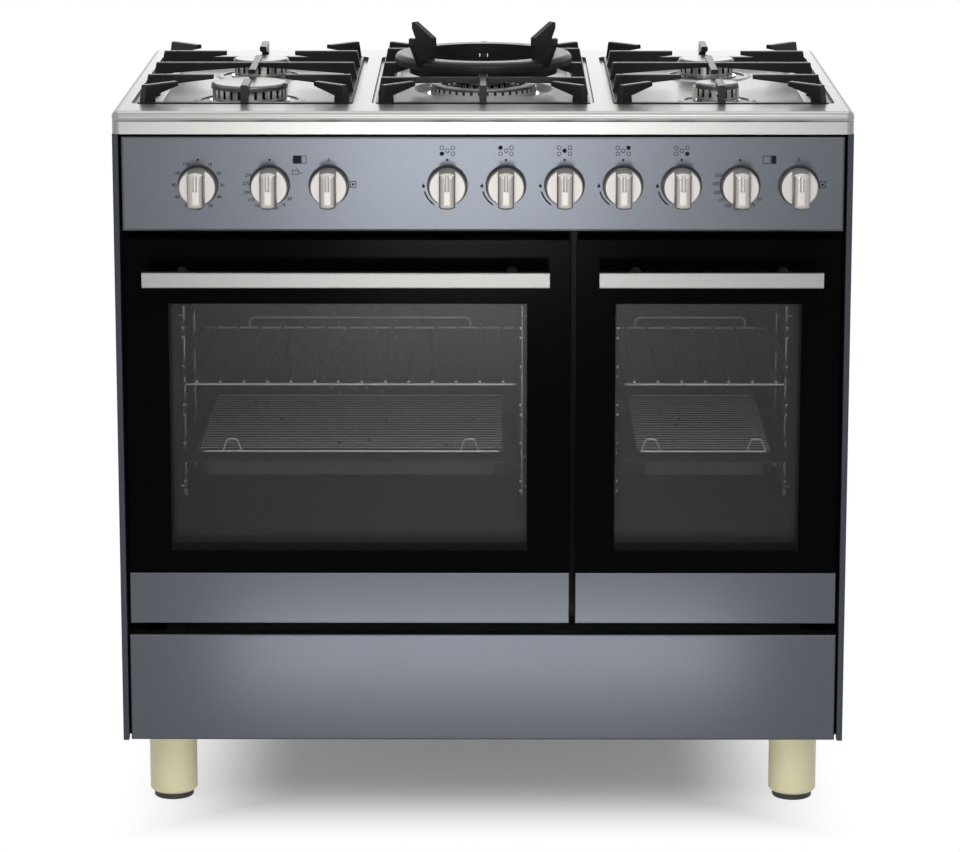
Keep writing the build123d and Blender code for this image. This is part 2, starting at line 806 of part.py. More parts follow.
def well(x, across, growth):
    """The hollow of one well, made larger by the sheet to give its underside."""
    ledge = RectangleRounded(across + 2 * growth, well_depth_y + 2 * growth, well_corner + growth)
    hollow = Pos(x, hob_mid_y, ledge_z - growth) * extrude(ledge, amount=ledge_drop + growth)
    inset = 2 * (ledge_width - growth)
    bowl = RectangleRounded(across - inset, well_depth_y - inset, well_corner + ledge_width + growth)
    bowl = extrude(bowl, amount=-bowl_drop, taper=bowl_taper)
    hollow = hollow.fuse(Pos(x, hob_mid_y, ledge_z - growth) * bowl)
    if x == 0:
        dish = extrude(Circle(dish_radius + growth), amount=dish_z - well_z, taper=dish_taper)
        hollow = hollow.fuse(Pos(x, hob_mid_y, well_z - growth) * dish)
    return hollow


nose = extrude(RectangleRounded(cooker_width, hob_depth, nose_corner), amount=nose_height)
nose = fillet(nose.edges().group_by(Axis.Z)[-1] + nose.edges().group_by(Axis.Z)[0], nose_height * 0.48)
hob = Pos(0, lip_y + hob_depth / 2, nose_z0) * nose
band_x = (-half_width, half_width)
band_y = (lip_y + nose_overhang, hob_back_y - nose_overhang)
band = block(band_x, band_y, (band_z0, rim_z - nose_height / 2))
band = fillet(band.edges().filter_by(Axis.Z), nose_corner)
underside = block(grow(band_x, -nose_overhang - sheet), grow(band_y, -sheet), (band_z0, rim_z - sheet))
for x, across in well_places:
    underside -= well(x, across, sheet)
hob = hob.fuse(band) - underside
for x, across in well_places:
    hob -= well(x, across, 0)


def embossed_ring(x, y, inner):
    """A low ring pressed up round a burner's flange."""
    ring = Cone(inner + emboss_width, inner + emboss_width / 2, emboss_height)
    return Pos(x, y, well_z + emboss_height / 2) * ring - rod_z(x, y, (well_z, well_z + emboss_height), inner)



# Burners: a cup through the hob, a slotted crown on it, an enamelled cap, and two probes beside it
cups = []
crowns = []
caps = []
probes = []
feed_ends = []


def slotted_crown(x, y, z, outer, height):
    crown = rod_z(x, y, (z, z + height), outer) - rod_z(x, y, (z, z + height), outer - crown_wall)
    pairs = int(pi * outer // flame_slot_pitch)
    slots = []
    for step in range(pairs):
        slot = block((-outer - 1, outer + 1), grow((0, 0), flame_slot_width / 2), (flame_slot_floor, height))
        slots.append(Pos(x, y, z) * Rot(0, 0, 180 * step / pairs) * slot)
    return crown - slots


def round_cap(x, y, z, radius, thickness):
    cap = rod_z(x, y, (z, z + thickness), radius)
    return fillet(cap.edges().group_by(Axis.Z)[-1], thickness * 0.45)


def burner_cup(x, y, floor_z, flange_radius, cup_radius):
    cup = rod_z(x, y, (floor_z, floor_z + cup_flange_thickness), flange_radius)
    cup = cup.fuse(rod_z(x, y, (floor_z - cup_depth, floor_z + cup_flange_thickness), cup_radius))
    room_z = (floor_z - cup_depth / 2, floor_z + cup_flange_thickness)
    return cup - rod_z(x, y, room_z, cup_radius - crown_wall / 2)


def probe_pair(x, y, floor_z, reach, turns):
    for turn in turns:
        probe_x = x + reach * cos(radians(turn))
        probe_y = y + reach * sin(radians(turn))
        probe = rod_z(probe_x, probe_y, (floor_z, floor_z + probe_height), probe_radius)
        probes.append(chamfer(probe.edges().group_by(Axis.Z)[-1], probe_radius / 2))


side_burners = [
    (-side_well_x, front_burner_y, rapid_cap_radius),
    (-side_well_x, rear_burner_y, medium_cap_radius),
    (side_well_x, rear_burner_y, medium_cap_radius),
    (side_well_x, front_burner_y, small_cap_radius),
]
for x, y, cap_radius in side_burners:
    crown_radius = cap_radius - touch_gap * 5
    cup_radius = crown_radius - crown_wall
    crown_z = well_z + cup_flange_thickness
    hob -= rod_z(x, y, (band_z0, rim_z), cup_radius + cup_clearance)
    flange_radius = crown_radius + cup_flange_margin
    hob += embossed_ring(x, y, flange_radius + probe_margin + probe_radius + emboss_gap)
    cups.append(burner_cup(x, y, well_z, flange_radius, cup_radius))
    crowns.append(slotted_crown(x, y, crown_z, crown_radius, crown_height))
    caps.append(round_cap(x, y, crown_z + crown_height, cap_radius, cap_thickness))
    probe_pair(x, y, well_z, flange_radius + probe_margin, (40, 140))
    feed_ends.append((x, y, well_z - cup_depth))

wok_floor = dish_z + cup_flange_thickness
wok_ring_inner = wok_ring_burner_radius - wok_ring_burner_width
hob -= rod_z(0, hob_mid_y, (band_z0, rim_z), wok_inner_crown_radius + cup_clearance)
cups.append(
    burner_cup(0, hob_mid_y, dish_z, wok_ring_burner_radius + cup_flange_margin, wok_inner_crown_radius)
)
crowns.append(slotted_crown(0, hob_mid_y, wok_floor, wok_ring_burner_radius, wok_ring_burner_height))
crowns.append(slotted_crown(0, hob_mid_y, wok_floor, wok_inner_crown_radius, crown_height))
ring_cap_z = wok_floor + wok_ring_burner_height
ring_cap = round_cap(0, hob_mid_y, ring_cap_z, wok_ring_burner_radius - 1, cap_thickness / 2)
ring_cap -= rod_z(0, hob_mid_y, (wok_floor, rim_z), wok_ring_inner)
caps.append(ring_cap)
caps.append(round_cap(0, hob_mid_y, wok_floor + crown_height, wok_cap_radius, cap_thickness))
probe_pair(0, hob_mid_y, dish_z, wok_ring_burner_radius + cup_flange_margin + probe_radius * 1.3, (70, 110))
feed_ends.insert(2, (0, hob_mid_y, dish_z - cup_depth))
save("hob_top", hob)
save("burner_cups", *cups)
save("burner_crowns", *crowns)
save("burner_caps", *caps)
save("burner_probes", *probes)

# Gas pipework: a square rail under the taps, run back to the inlet, and a feed pipe to each burner
rail_z = (knob_z - tap_fall - rail_size, knob_z - tap_fall)
rail_y = (face_y + rail_setback, face_y + rail_setback + rail_size)
rail_end_x = inner_x - rail_size * 2
rail_x = (tap_x[0] - rail_size, rail_end_x)
run_x = (rail_end_x - rail_size, rail_end_x)
run_y = (rail_y[0], back_y - rail_size)
inlet_x = rail_end_x - rail_size / 2
inlet_z = (rail_z[0] + rail_z[1]) / 2
inlet_y = (run_y[1] - heavy_sheet, back_y + sheet + inlet_length)
rail = block(rail_x, rail_y, rail_z).fuse(block(run_x, run_y, rail_z))
rail_room = block(grow(rail_x, -heavy_sheet), grow(rail_y, -heavy_sheet), grow(rail_z, -heavy_sheet))
rail_room = rail_room.fuse(
    block(grow(run_x, -heavy_sheet), grow(run_y, -heavy_sheet), grow(rail_z, -heavy_sheet))
)
inlet_collar_y = (back_y + sheet, back_y + sheet + inlet_collar_length)
rail = (rail - rail_room).fuse(
    rod_y(inlet_x, inlet_y, inlet_z, inlet_radius),
    rod_y(inlet_x, inlet_collar_y, inlet_z, inlet_radius + inlet_collar_width),
)
rail -= rod_y(inlet_x, (run_y[1] - 2 * heavy_sheet, inlet_y[1]), inlet_z, inlet_bore_radius)

pipe_z = knob_z + tap_rise / 3
pipe_y = tap_y + tap_depth
first_turn = pipe_y + feed_pipe_bend * 2.5
second_turn = first_turn + feed_pipe_bend * 2.5
third_turn = second_turn + feed_pipe_bend * 2.5
rear_turn = rear_burner_y - feed_pipe_bend * 4
lane_x = -wok_ring_outer_radius
rapid_end, rear_left_end, wok_end, rear_right_end, small_end = feed_ends
feed_turns = [
    [(tap_x[0], first_turn), (rapid_end[0], first_turn)],
    [(tap_x[1], second_turn), (lane_x, second_turn), (lane_x, rear_turn), (rear_left_end[0], rear_turn)],
    [(tap_x[2], third_turn), (wok_end[0], third_turn)],
    [(tap_x[3], rear_turn), (rear_right_end[0], rear_turn)],
    [(tap_x[4], first_turn), (small_end[0], first_turn)],
]
feed_pipes = []
for x, turns, end in zip(tap_x, feed_turns, feed_ends):
    corners = [(x, pipe_y, pipe_z)]
    corners += [(turn_x, turn_y, pipe_z) for turn_x, turn_y in turns]
    corners += [(end[0], end[1], pipe_z), end]
    feed_pipes.append(bent_wire(corners, feed_pipe_bend, feed_pipe_radius))
save("gas_pipework", rail, *feed_pipes)


# Pan supports: cast iron grids of tapered fingers on legs, tied by a low rail that sits on the ledge
def finger(length, root_depth=finger_root_depth):
    """One finger along +X from its leg, with its top edges chamfered."""
    outline = [
        (0, ledge_z),
        (finger_leg_width, ledge_z),
        (finger_leg_width * 0.9, grid_top_z - root_depth),
        (length, grid_top_z - finger_tip_depth),
        (length, grid_top_z),
        (finger_leg_splay, grid_top_z),
    ]
    bar = extrude(Plane.XZ * make_face(Polyline(*outline, close=True)), amount=grid_bar / 2, both=True)
    return chamfer(bar.edges().group_by(Axis.Z)[-1].filter_by(Axis.X), grid_chamfer)


def cross_bar(length):
    """A legless bar along +X at the grid's top."""
    bar = block((0, length), (-grid_bar / 2, grid_bar / 2), (grid_top_z - finger_tip_depth, grid_top_z))
    return chamfer(bar.edges().group_by(Axis.Z)[-1].filter_by(Axis.X), grid_chamfer)


def grid_frame(x):
    """The low rail and the four corner fingers that every pan support has."""
    rail = RectangleRounded(grid_width, grid_depth, grid_bar)
    rail -= RectangleRounded(grid_width - 2 * grid_bar, grid_depth - 2 * grid_bar, grid_bar / 2)
    parts = [Pos(x, hob_mid_y, ledge_z) * extrude(rail, amount=grid_rail_height)]
    corner_inset = grid_bar * 0.6
    for side, end, turn in ((-1, -1, 45), (1, -1, 135), (1, 1, 225), (-1, 1, 315)):
        corner_x = x + side * (grid_width / 2 - corner_inset)
        corner_y = hob_mid_y + end * (grid_depth / 2 - corner_inset)
        parts.append(Pos(corner_x, corner_y) * Rot(0, 0, turn) * finger(corner_finger_length))
    return parts


def end_fingers(x, length):
    """The fingers at the middle of the front and back rails."""
    return [
        Pos(x, hob_mid_y - grid_depth / 2) * Rot(0, 0, 90) * finger(length),
        Pos(x, hob_mid_y + grid_depth / 2) * Rot(0, 0, -90) * finger(length),
    ]


def side_fingers(x, y, length, root_depth=finger_root_depth):
    """A pair of fingers that face each other across the grid."""
    return [
        Pos(x - grid_width / 2, y) * finger(length, root_depth),
        Pos(x + grid_width / 2, y) * Rot(0, 0, 180) * finger(length, root_depth),
    ]


def side_grid(x):
    parts = grid_frame(x) + end_fingers(x, end_finger_length)
    for y in (front_burner_y, rear_burner_y):
        parts += side_fingers(x, y, side_finger_length)
    parts += side_fingers(x, hob_mid_y, grid_width / 2)
    for turn in (90, -90):
        parts.append(Pos(x, hob_mid_y) * Rot(0, 0, turn) * cross_bar(inner_finger_length))
    return join(parts)


def wok_grid():
    parts = grid_frame(0) + end_fingers(0, wok_end_finger_length)
    for y in (hob_mid_y - wok_bar_offset, hob_mid_y + wok_bar_offset):
        parts += side_fingers(0, y, grid_width / 2, wok_bar_root_depth)
    parts += side_fingers(0, hob_mid_y, wok_side_finger_length)
    return join(parts)


save("left_pan_support", side_grid(-side_well_x))
save("centre_pan_support", wok_grid())
save("right_pan_support", side_grid(side_well_x))

# Wok ring: a loose cast iron ring with four raised fins that cradle a round pan, and a skirt under it
# whose notches drop over the pan support's fingers
wok_ring = rod_z(0, hob_mid_y, (grid_top_z, grid_top_z + wok_ring_height), wok_ring_outer_radius)
wok_ring = fillet(wok_ring.edges().group_by(Axis.Z)[-1], wok_ring_height * 0.5)
skirt_z = (grid_top_z - wok_skirt_depth, grid_top_z)
skirt_radius = wok_ring_inner_radius + wok_skirt_wall
wok_skirt = rod_z(0, hob_mid_y, skirt_z, skirt_radius)
notch = block((-skirt_radius, skirt_radius), grow((0, 0), grid_bar / 2 + wok_notch_clearance), skirt_z)
for turn in (0, 90):
    wok_skirt -= Pos(0, hob_mid_y) * Rot(0, 0, turn) * notch
wok_ring = wok_ring.fuse(wok_skirt)
wok_ring -= rod_z(0, hob_mid_y, (skirt_z[0], grid_top_z + wok_ring_height), wok_ring_inner_radius)
fin_outline = [
    (wok_ring_inner_radius, grid_top_z + wok_ring_height / 4),
    (wok_ring_outer_radius, grid_top_z + wok_ring_height / 4),
    (wok_fin_outer_radius, grid_top_z + wok_fin_rise * 0.8),
    (wok_fin_outer_radius, grid_top_z + wok_fin_rise - grid_chamfer),
    (wok_fin_outer_radius - grid_chamfer * 3, grid_top_z + wok_fin_rise),
    (wok_ring_inner_radius + grid_chamfer, grid_top_z + wok_fin_inner_rise),
]
fin_face = Plane.XZ * make_face(Polyline(*fin_outline, close=True))
fin = extrude(fin_face, amount=wok_fin_thickness / 2, both=True)
fins = [Pos(0, hob_mid_y) * Rot(0, 0, turn) * fin for turn in (45, 135, 225, 315)]
save("wok_ring", join([wok_ring, *fins]))

# Back panel: a plain sheet with cooling slots and a hole for the gas inlet
back_sheet_y = (back_y, back_y + sheet)
back_panel = block((-inner_x, inner_x), back_sheet_y, (body_bottom, band_z0))
vents = []
for slot in range(vent_slot_count):
    slot_x = (slot - (vent_slot_count - 1) / 2) * vent_slot_pitch
    for slot_z in (cavity_z[0], fan_z, cavity_z[1]):
        vents.append(
            block(
                grow((slot_x, slot_x), vent_slot_length / 2),
                grow(back_sheet_y, sheet),
                grow((slot_z, slot_z), vent_slot_width / 2),
            )
        )
inlet_hole = rod_y(inlet_x, grow(back_sheet_y, sheet), inlet_z, inlet_radius + sheet)
save("back_panel", back_panel - screw_holes - vents - inlet_hole)

# Case screws: round-headed screws that hold the side panels' flanges to the back panel
screws = []
for side in (-1, 1):
    for z in screw_z:
        head = rod_y(side * screw_x, (panel_rear_y, panel_rear_y + screw_head_height), z, screw_head_radius)
        head = fillet(head.edges().group_by(Axis.Y)[-1], screw_head_height * 0.6)
        shank_y = (panel_rear_y - screw_shank_length, panel_rear_y)
        screws.append(head.fuse(rod_y(side * screw_x, shank_y, z, screw_shank_radius - running_gap)))
save("case_screws", *screws)

# Terminal box: a moulded cover on the back panel, with the mains cable's gland bore in its floor
terminal_x_span = grow((terminal_x, terminal_x), terminal_width / 2)
terminal_y = (back_y + sheet, back_y + sheet + terminal_depth)
terminal_z = (body_bottom + terminal_lift, body_bottom + terminal_lift + terminal_height)
gland_wall = cable_bore_radius
terminal = block(terminal_x_span, terminal_y, terminal_z)
terminal = fillet(terminal.faces().sort_by(Axis.Y)[-1].edges(), heavy_sheet * 2)
terminal -= block(
    grow(terminal_x_span, -heavy_sheet),
    (terminal_y[0], terminal_y[1] - heavy_sheet),
    (terminal_z[0] + gland_wall, terminal_z[1] - heavy_sheet),
)
cable_y = terminal_y[0] + terminal_depth / 2
cable_bore = rod_z(terminal_x, cable_y, (terminal_z[0], terminal_z[0] + gland_wall), cable_bore_radius)
save("terminal_box", terminal - cable_bore)

# Oven doors: each has a front glass over a painted strip, a folded liner with the hinge ears,
# an inner pane, and a bar handle on two posts
liner_inset = touch_gap * 5
glass_seam = touch_gap * 2
ear_reach = hinge_arm_radius + touch_gap * 3
slot_half = hinge_arm_thickness / 2 + hinge_side_gap
ear_half = slot_half + hinge_ear_width


def hinge_places(x):
    return (x[0] + hinge_inset, x[1] - hinge_inset)


def door_liner(x, window_x):
    tall = (door_z0 + liner_inset, door_z1 - liner_inset)
    wide = grow(x, -liner_inset)
    liner = block(wide, (face_y + glass_thickness, liner_back_y), tall)
    liner = fillet(liner.edges().filter_by(Axis.Y), sheet * 2)
    liner -= block(grow(wide, -sheet), (face_y, liner_back_y - sheet), grow(tall, -sheet))
    liner -= block(window_x, (face_y, liner_back_y + sheet), window_z)
    for hinge_x in hinge_places(x):
        ear = block(
            grow((hinge_x, hinge_x), ear_half),
            (face_y + glass_thickness, hinge_y + ear_reach),
            (tall[0], hinge_z + ear_reach),
        )
        slot = block(
            grow((hinge_x, hinge_x), slot_half),
            (hinge_y - ear_reach, liner_back_y + sheet),
            (door_z0, hinge_z + ear_reach),
        )
        bore = rod_x(
            grow((hinge_x, hinge_x), ear_half), hinge_y, hinge_z, hinge_pin_radius + running_gap
        )
        liner = liner.fuse(ear) - slot - bore
    return liner


def door_handle(x):
    bar_x = grow(x, -handle_end_margin)
    bar_z1 = door_z1 - handle_drop + handle_height / 2
    bar_z = (bar_z1 - handle_height, bar_z1)
    bar_y = (face_y - handle_reach, face_y - handle_reach + handle_depth)
    bar = block(bar_x, bar_y, bar_z)
    bar = fillet(bar.edges().filter_by(Axis.X), handle_depth / 6)
    posts = [
        rod_y(post_x, (bar_y[1], face_y), (bar_z[0] + bar_z[1]) / 2, handle_post_radius)
        for post_x in grow(bar_x, -handle_post_inset)
    ]
    return [bar, *posts]


def door_glass(x):
    pane = block(x, (face_y, face_y + glass_thickness), (strip_z1 + glass_seam, door_z1))
    return chamfer(pane.faces().sort_by(Axis.Y)[0].edges(), glass_thickness / 5)


def door_strip(x):
    tall = (door_z0, strip_z1)
    strip = block(x, (face_y, face_y + glass_thickness), tall)
    strip = fillet(strip.faces().sort_by(Axis.Y)[0].edges(), sheet)
    return strip - block(
        grow(x, -panel_sheet), (face_y + panel_sheet, face_y + glass_thickness), grow(tall, -panel_sheet)
    )


for name, x, window_x in (("main", main_door_x, main_window_x), ("side", side_door_x, side_window_x)):
    save(f"{name}_door_glass", door_glass(x))
    save(f"{name}_door_strip", door_strip(x))
    save(f"{name}_door_liner", door_liner(x, window_x))
    inner_pane_y = (liner_back_y - sheet - glass_thickness, liner_back_y - sheet)
    pane_x = grow(window_x, inner_glass_margin)
    save(f"{name}_door_inner_glass", block(pane_x, inner_pane_y, grow(window_z, inner_glass_margin)))
    save(f"{name}_door_handle", *door_handle(x))

# Hinge brackets: arms on the front frame, each with the pin that a door's ears turn on
brackets = []
for hinge_x in hinge_places(main_door_x) + hinge_places(side_door_x):
    arm_x = grow((hinge_x, hinge_x), hinge_arm_thickness / 2)
    arm = block(arm_x, (hinge_y, frame_y), grow((hinge_z, hinge_z), hinge_arm_radius))
    knuckle = rod_x(arm_x, hinge_y, hinge_z, hinge_arm_radius)
    pin = rod_x(grow((hinge_x, hinge_x), ear_half), hinge_y, hinge_z, hinge_pin_radius)
    brackets.append(join([arm, knuckle, pin]))
save("hinge_brackets", *brackets)

# Storage drawer: a folded painted front screwed to an open steel box that slides on the guide rails
drawer_x = (-panel_half_width, panel_half_width)
drawer_z = (drawer_z0, drawer_z1)
drawer_joint_y = face_y + drawer_front_depth
drawer_front = block(drawer_x, (face_y, drawer_joint_y), drawer_z)
drawer_front = fillet(drawer_front.faces().sort_by(Axis.Y)[0].edges(), drawer_edge_radius)
drawer_front -= block(
    grow(drawer_x, -panel_sheet), (face_y + panel_sheet, drawer_joint_y), grow(drawer_z, -panel_sheet)
)
save("drawer_front", drawer_front)

box_x = (-drawer_half, drawer_half)
box_y = (drawer_joint_y, drawer_joint_y + drawer_box_length)
box_z = (drawer_floor_z, drawer_floor_z + drawer_box_height)
drawer_box = block(box_x, box_y, box_z)
drawer_box -= block(grow(box_x, -sheet), grow(box_y, -sheet), (box_z[0] + sheet, rim_z))
drawer_plate = block(drawer_x, (drawer_joint_y, drawer_joint_y + sheet), drawer_z)
save("drawer_box", drawer_box.fuse(drawer_plate))
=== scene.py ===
from math import atan2, cos, pi, radians, sin, sqrt

import bpy
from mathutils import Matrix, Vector


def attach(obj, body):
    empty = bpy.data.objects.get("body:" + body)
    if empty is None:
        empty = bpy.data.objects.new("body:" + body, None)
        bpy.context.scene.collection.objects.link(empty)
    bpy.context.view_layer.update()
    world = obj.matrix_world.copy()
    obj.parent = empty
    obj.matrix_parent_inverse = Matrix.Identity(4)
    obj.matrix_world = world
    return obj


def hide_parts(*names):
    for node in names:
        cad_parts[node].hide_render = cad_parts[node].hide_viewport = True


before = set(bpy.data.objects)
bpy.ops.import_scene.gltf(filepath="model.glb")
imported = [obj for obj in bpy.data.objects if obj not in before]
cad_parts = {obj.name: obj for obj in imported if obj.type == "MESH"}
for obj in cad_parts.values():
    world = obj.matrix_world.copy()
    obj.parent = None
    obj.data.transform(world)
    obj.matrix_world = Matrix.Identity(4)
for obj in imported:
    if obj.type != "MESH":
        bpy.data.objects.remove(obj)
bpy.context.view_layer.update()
bpy.ops.object.select_all(action="DESELECT")
scene = bpy.context.scene
scene.view_settings.view_transform = "Standard"

# Studio: a white sweep of paper under plain soft light.
# The paper shows white to the camera and in metal and glass. Under the cooker it keeps most of
# its own shade, so the soft shadow stays on it.


def linear(code):
    """A hex sRGB colour as linear red, green, blue and alpha."""
    parts = [int(code[i : i + 2], 16) / 255 for i in (1, 3, 5)]
    return [c / 12.92 if c < 0.04045 else ((c + 0.055) / 1.055) ** 2.4 for c in parts] + [1.0]


def add_node(tree, kind, inputs=None, **settings):
    """Adds one node, sets its settings, and gives each named input a value or a link."""
    made = tree.nodes.new(kind)
    for name, value in settings.items():
        setattr(made, name, value)
    for socket, value in (inputs or {}).items():
        if isinstance(value, bpy.types.NodeSocket):
            tree.links.new(value, made.inputs[socket])
        else:
            made.inputs[socket].default_value = value
    return made


def white_rays(tree):
    """1 for a ray from the camera or one sent on by metal or glass, and 0 for any other."""
    path = add_node(tree, "ShaderNodeLightPath")
    seen = path.outputs["Is Camera Ray"]
    for kind in ("Is Glossy Ray", "Is Transmission Ray"):
        either = add_node(tree, "ShaderNodeMath", {0: seen, 1: path.outputs[kind]}, operation="MAXIMUM")
        seen = either.outputs[0]
    return seen


paper_size = 60.0
shade_least = 0.12
shade_half_width = 0.47
shade_half_depth = 0.39
shade_edge = 0.5
bpy.ops.mesh.primitive_plane_add(size=paper_size)
paper = bpy.context.object
paper.name = "studio_paper"
paper_finish = bpy.data.materials.new("matt_white_paper")
paper_finish.use_nodes = True
tree = paper_finish.node_tree
tree.nodes.clear()
place = add_node(tree, "ShaderNodeTexCoord").outputs["Object"]
reach = (1 / shade_half_width, 1 / shade_half_depth, 0.0)
spot = add_node(tree, "ShaderNodeVectorMath", {0: place, 1: reach}, operation="MULTIPLY")
spot = add_node(tree, "ShaderNodeVectorMath", {0: spot.outputs[0]}, operation="ABSOLUTE")
spot = add_node(tree, "ShaderNodeSeparateXYZ", {0: spot.outputs[0]})
away = add_node(tree, "ShaderNodeMath", {0: spot.outputs["X"], 1: spot.outputs["Y"]}, operation="MAXIMUM")
fade = add_node(
    tree,
    "ShaderNodeMapRange",
    {"Value": away.outputs[0], "From Min": shade_edge, "From Max": 1.0, "To Min": shade_least},
    interpolation_type="SMOOTHSTEP",
)
share = add_node(tree, "ShaderNodeMath", {0: white_rays(tree), 1: fade.outputs[0]}, operation="MULTIPLY")
glow = add_node(tree, "ShaderNodeEmission", {"Color": linear("#FFFFFF")})
matt = add_node(tree, "ShaderNodeBsdfDiffuse", {"Color": linear("#EFEFEF")})
mixed = add_node(tree, "ShaderNodeMixShader", {0: share.outputs[0], 1: matt.outputs[0], 2: glow.outputs[0]})
add_node(tree, "ShaderNodeOutputMaterial", {"Surface": mixed.outputs[0]})
paper.data.materials.append(paper_finish)

sky_level = 0.45
world = bpy.data.worlds.new("white_studio")
scene.world = world
world.use_nodes = True
tree = world.node_tree
tree.nodes.clear()
level = add_node(tree, "ShaderNodeMapRange", {"Value": white_rays(tree), "To Min": sky_level, "To Max": 1.0})
sky = add_node(tree, "ShaderNodeBackground", {"Color": linear("#FFFFFF"), "Strength": level.outputs[0]})
add_node(tree, "ShaderNodeOutputWorld", {"Surface": sky.outputs[0]})

# Softboxes: name, stand, the point each faces, width and height in metres, and watts.
softboxes = [
    ("front_softbox", (0.1, -1.7, 1.75), (0.05, -0.27, 0.45), 0.9, 0.9, 9.0),
    ("top_softbox", (0.0, 0.4, 2.8), (0.0, 0.0, 0.8), 2.0, 2.0, 16.0),
    ("low_softbox", (0.0, -0.82, 0.053), (0.0, -0.27, 0.12), 0.7, 0.09, 1.0),
    ("far_softbox", (-0.05, -3.5, 0.4), (0.0, -0.27, 0.7), 0.4, 0.6, 16.5),
    ("back_softbox", (0.0, 3.0, 1.3), (0.0, 0.0, 0.9), 1.6, 0.5, 5.0),
]
for name, stand, aim, width, height, watts in softboxes:
    lamp = bpy.data.lights.new(name, "AREA")
    lamp.shape = "RECTANGLE"
    lamp.size = width
    lamp.size_y = height
    lamp.energy = watts
    holder = bpy.data.objects.new(name, lamp)
    holder.location = stand
    holder.rotation_euler = (Vector(aim) - Vector(stand)).to_track_quat("-Z", "Y").to_euler()
    scene.collection.objects.link(holder)

# Camera: fitted to the photograph for this small lens shift.
camera_place = (0.0120, -4.6840, 1.5172)
camera_pitch = 11.217
camera_yaw = -0.200
camera_lens = 137.97
camera_sensor = 36.0
camera_shift = -0.12
camera = bpy.data.cameras.new("photo_camera")
camera.sensor_width = camera_sensor
camera.lens = camera_lens
camera.shift_y = camera_shift
camera_holder = bpy.data.objects.new("photo_camera", camera)
camera_holder.location = camera_place
camera_holder.rotation_euler = (radians(90 - camera_pitch), 0, radians(-camera_yaw))
scene.collection.objects.link(camera_holder)
scene.camera = camera_holder

# Legs: round steel tubes in cream satin lacquer, fixed under the body.
# Lacquer is smooth and slightly soft in its shine, with a faint orange peel of about 2.4 mm
# and a tone that drifts over some 70 mm.


def start_finish(name):
    """A new material: its node tree, its shader and the place of each point on the piece, in metres."""
    made = bpy.data.materials.new(name)
    made.use_nodes = True
    tree = made.node_tree
    place = add_node(tree, "ShaderNodeTexCoord").outputs["Object"]
    return made, tree, tree.nodes["Principled BSDF"], place


def dress(finish, *names):
    """Gives CAD nodes a finish."""
    for name in names:
        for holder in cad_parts[name].material_slots:
            holder.material = finish


peel_mm = 2.38
tint_mm = 71.4
cream_lacquer, tree, shader, place = start_finish("cream_satin_lacquer")
peel = add_node(tree, "ShaderNodeTexNoise", {"Vector": place, "Scale": 1000 / peel_mm, "Detail": 2.0})
tint = add_node(tree, "ShaderNodeTexNoise", {"Vector": place, "Scale": 1000 / tint_mm, "Detail": 3.0})
tone = add_node(tree, "ShaderNodeValToRGB", {"Fac": tint.outputs["Fac"]})
tone.color_ramp.elements[0].color = linear("#D4CEA7")
tone.color_ramp.elements[1].color = linear("#E0DAB6")
bump = add_node(tree, "ShaderNodeBump", {"Height": peel.outputs["Fac"], "Strength": 0.08, "Distance": 0.0005})
tree.links.new(tone.outputs["Color"], shader.inputs["Base Color"])
tree.links.new(bump.outputs["Normal"], shader.inputs["Normal"])
shader.inputs["Roughness"].default_value = 0.38
shader.inputs["IOR"].default_value = 1.5
dress(cream_lacquer, "legs")

# Feet, terminal box, knob collars and switch bodies: moulded black plastic.
# Straight from the mould it is near black and dull, with a spark-eroded grain of about half a
# millimetre that shows only close to.
grain_mm = 0.556
black_moulding, tree, shader, place = start_finish("moulded_black_nylon")
grain = add_node(tree, "ShaderNodeTexNoise", {"Vector": place, "Scale": 1000 / grain_mm, "Detail": 3.0})
rough = add_node(tree, "ShaderNodeMapRange", {"Value": grain.outputs["Fac"], "To Min": 0.42, "To Max": 0.62})
bump = add_node(
    tree, "ShaderNodeBump", {"Height": grain.outputs["Fac"], "Strength": 0.15, "Distance": 0.0003}
)
tone = add_node(tree, "ShaderNodeValToRGB", {"Fac": grain.outputs["Fac"]})
tone.color_ramp.elements[0].color = linear("#161617")
tone.color_ramp.elements[1].color = linear("#222223")
tree.links.new(tone.outputs["Color"], shader.inputs["Base Color"])
tree.links.new(rough.outputs[0], shader.inputs["Roughness"])
tree.links.new(bump.outputs["Normal"], shader.inputs["Normal"])
dress(black_moulding, "levelling_feet", "terminal_box", "knob_bezels", "oven_switches")

# Back, base, drawer box, hinge brackets and case screws: hot-dip galvanised steel.
# Zinc crystals give patches about 7 mm across, each a little lighter or darker.
spangle_mm = 6.67
galvanised, tree, shader, place = start_finish("galvanised_sheet")
spangle = add_node(
    tree, "ShaderNodeTexVoronoi", {"Vector": place, "Scale": 1000 / spangle_mm, "Randomness": 1.0}
)
tone = add_node(tree, "ShaderNodeValToRGB", {"Fac": spangle.outputs["Color"]})
tone.color_ramp.elements[0].color = linear("#9DA2A5")
tone.color_ramp.elements[1].color = linear("#B0B4B7")
rough = add_node(
    tree, "ShaderNodeMapRange", {"Value": spangle.outputs["Color"], "To Min": 0.38, "To Max": 0.48}
)
tree.links.new(tone.outputs["Color"], shader.inputs["Base Color"])
tree.links.new(rough.outputs[0], shader.inputs["Roughness"])
shader.inputs["Metallic"].default_value = 0.85
dress(galvanised, "back_panel", "base_tray", "drawer_box", "hinge_brackets", "case_screws")

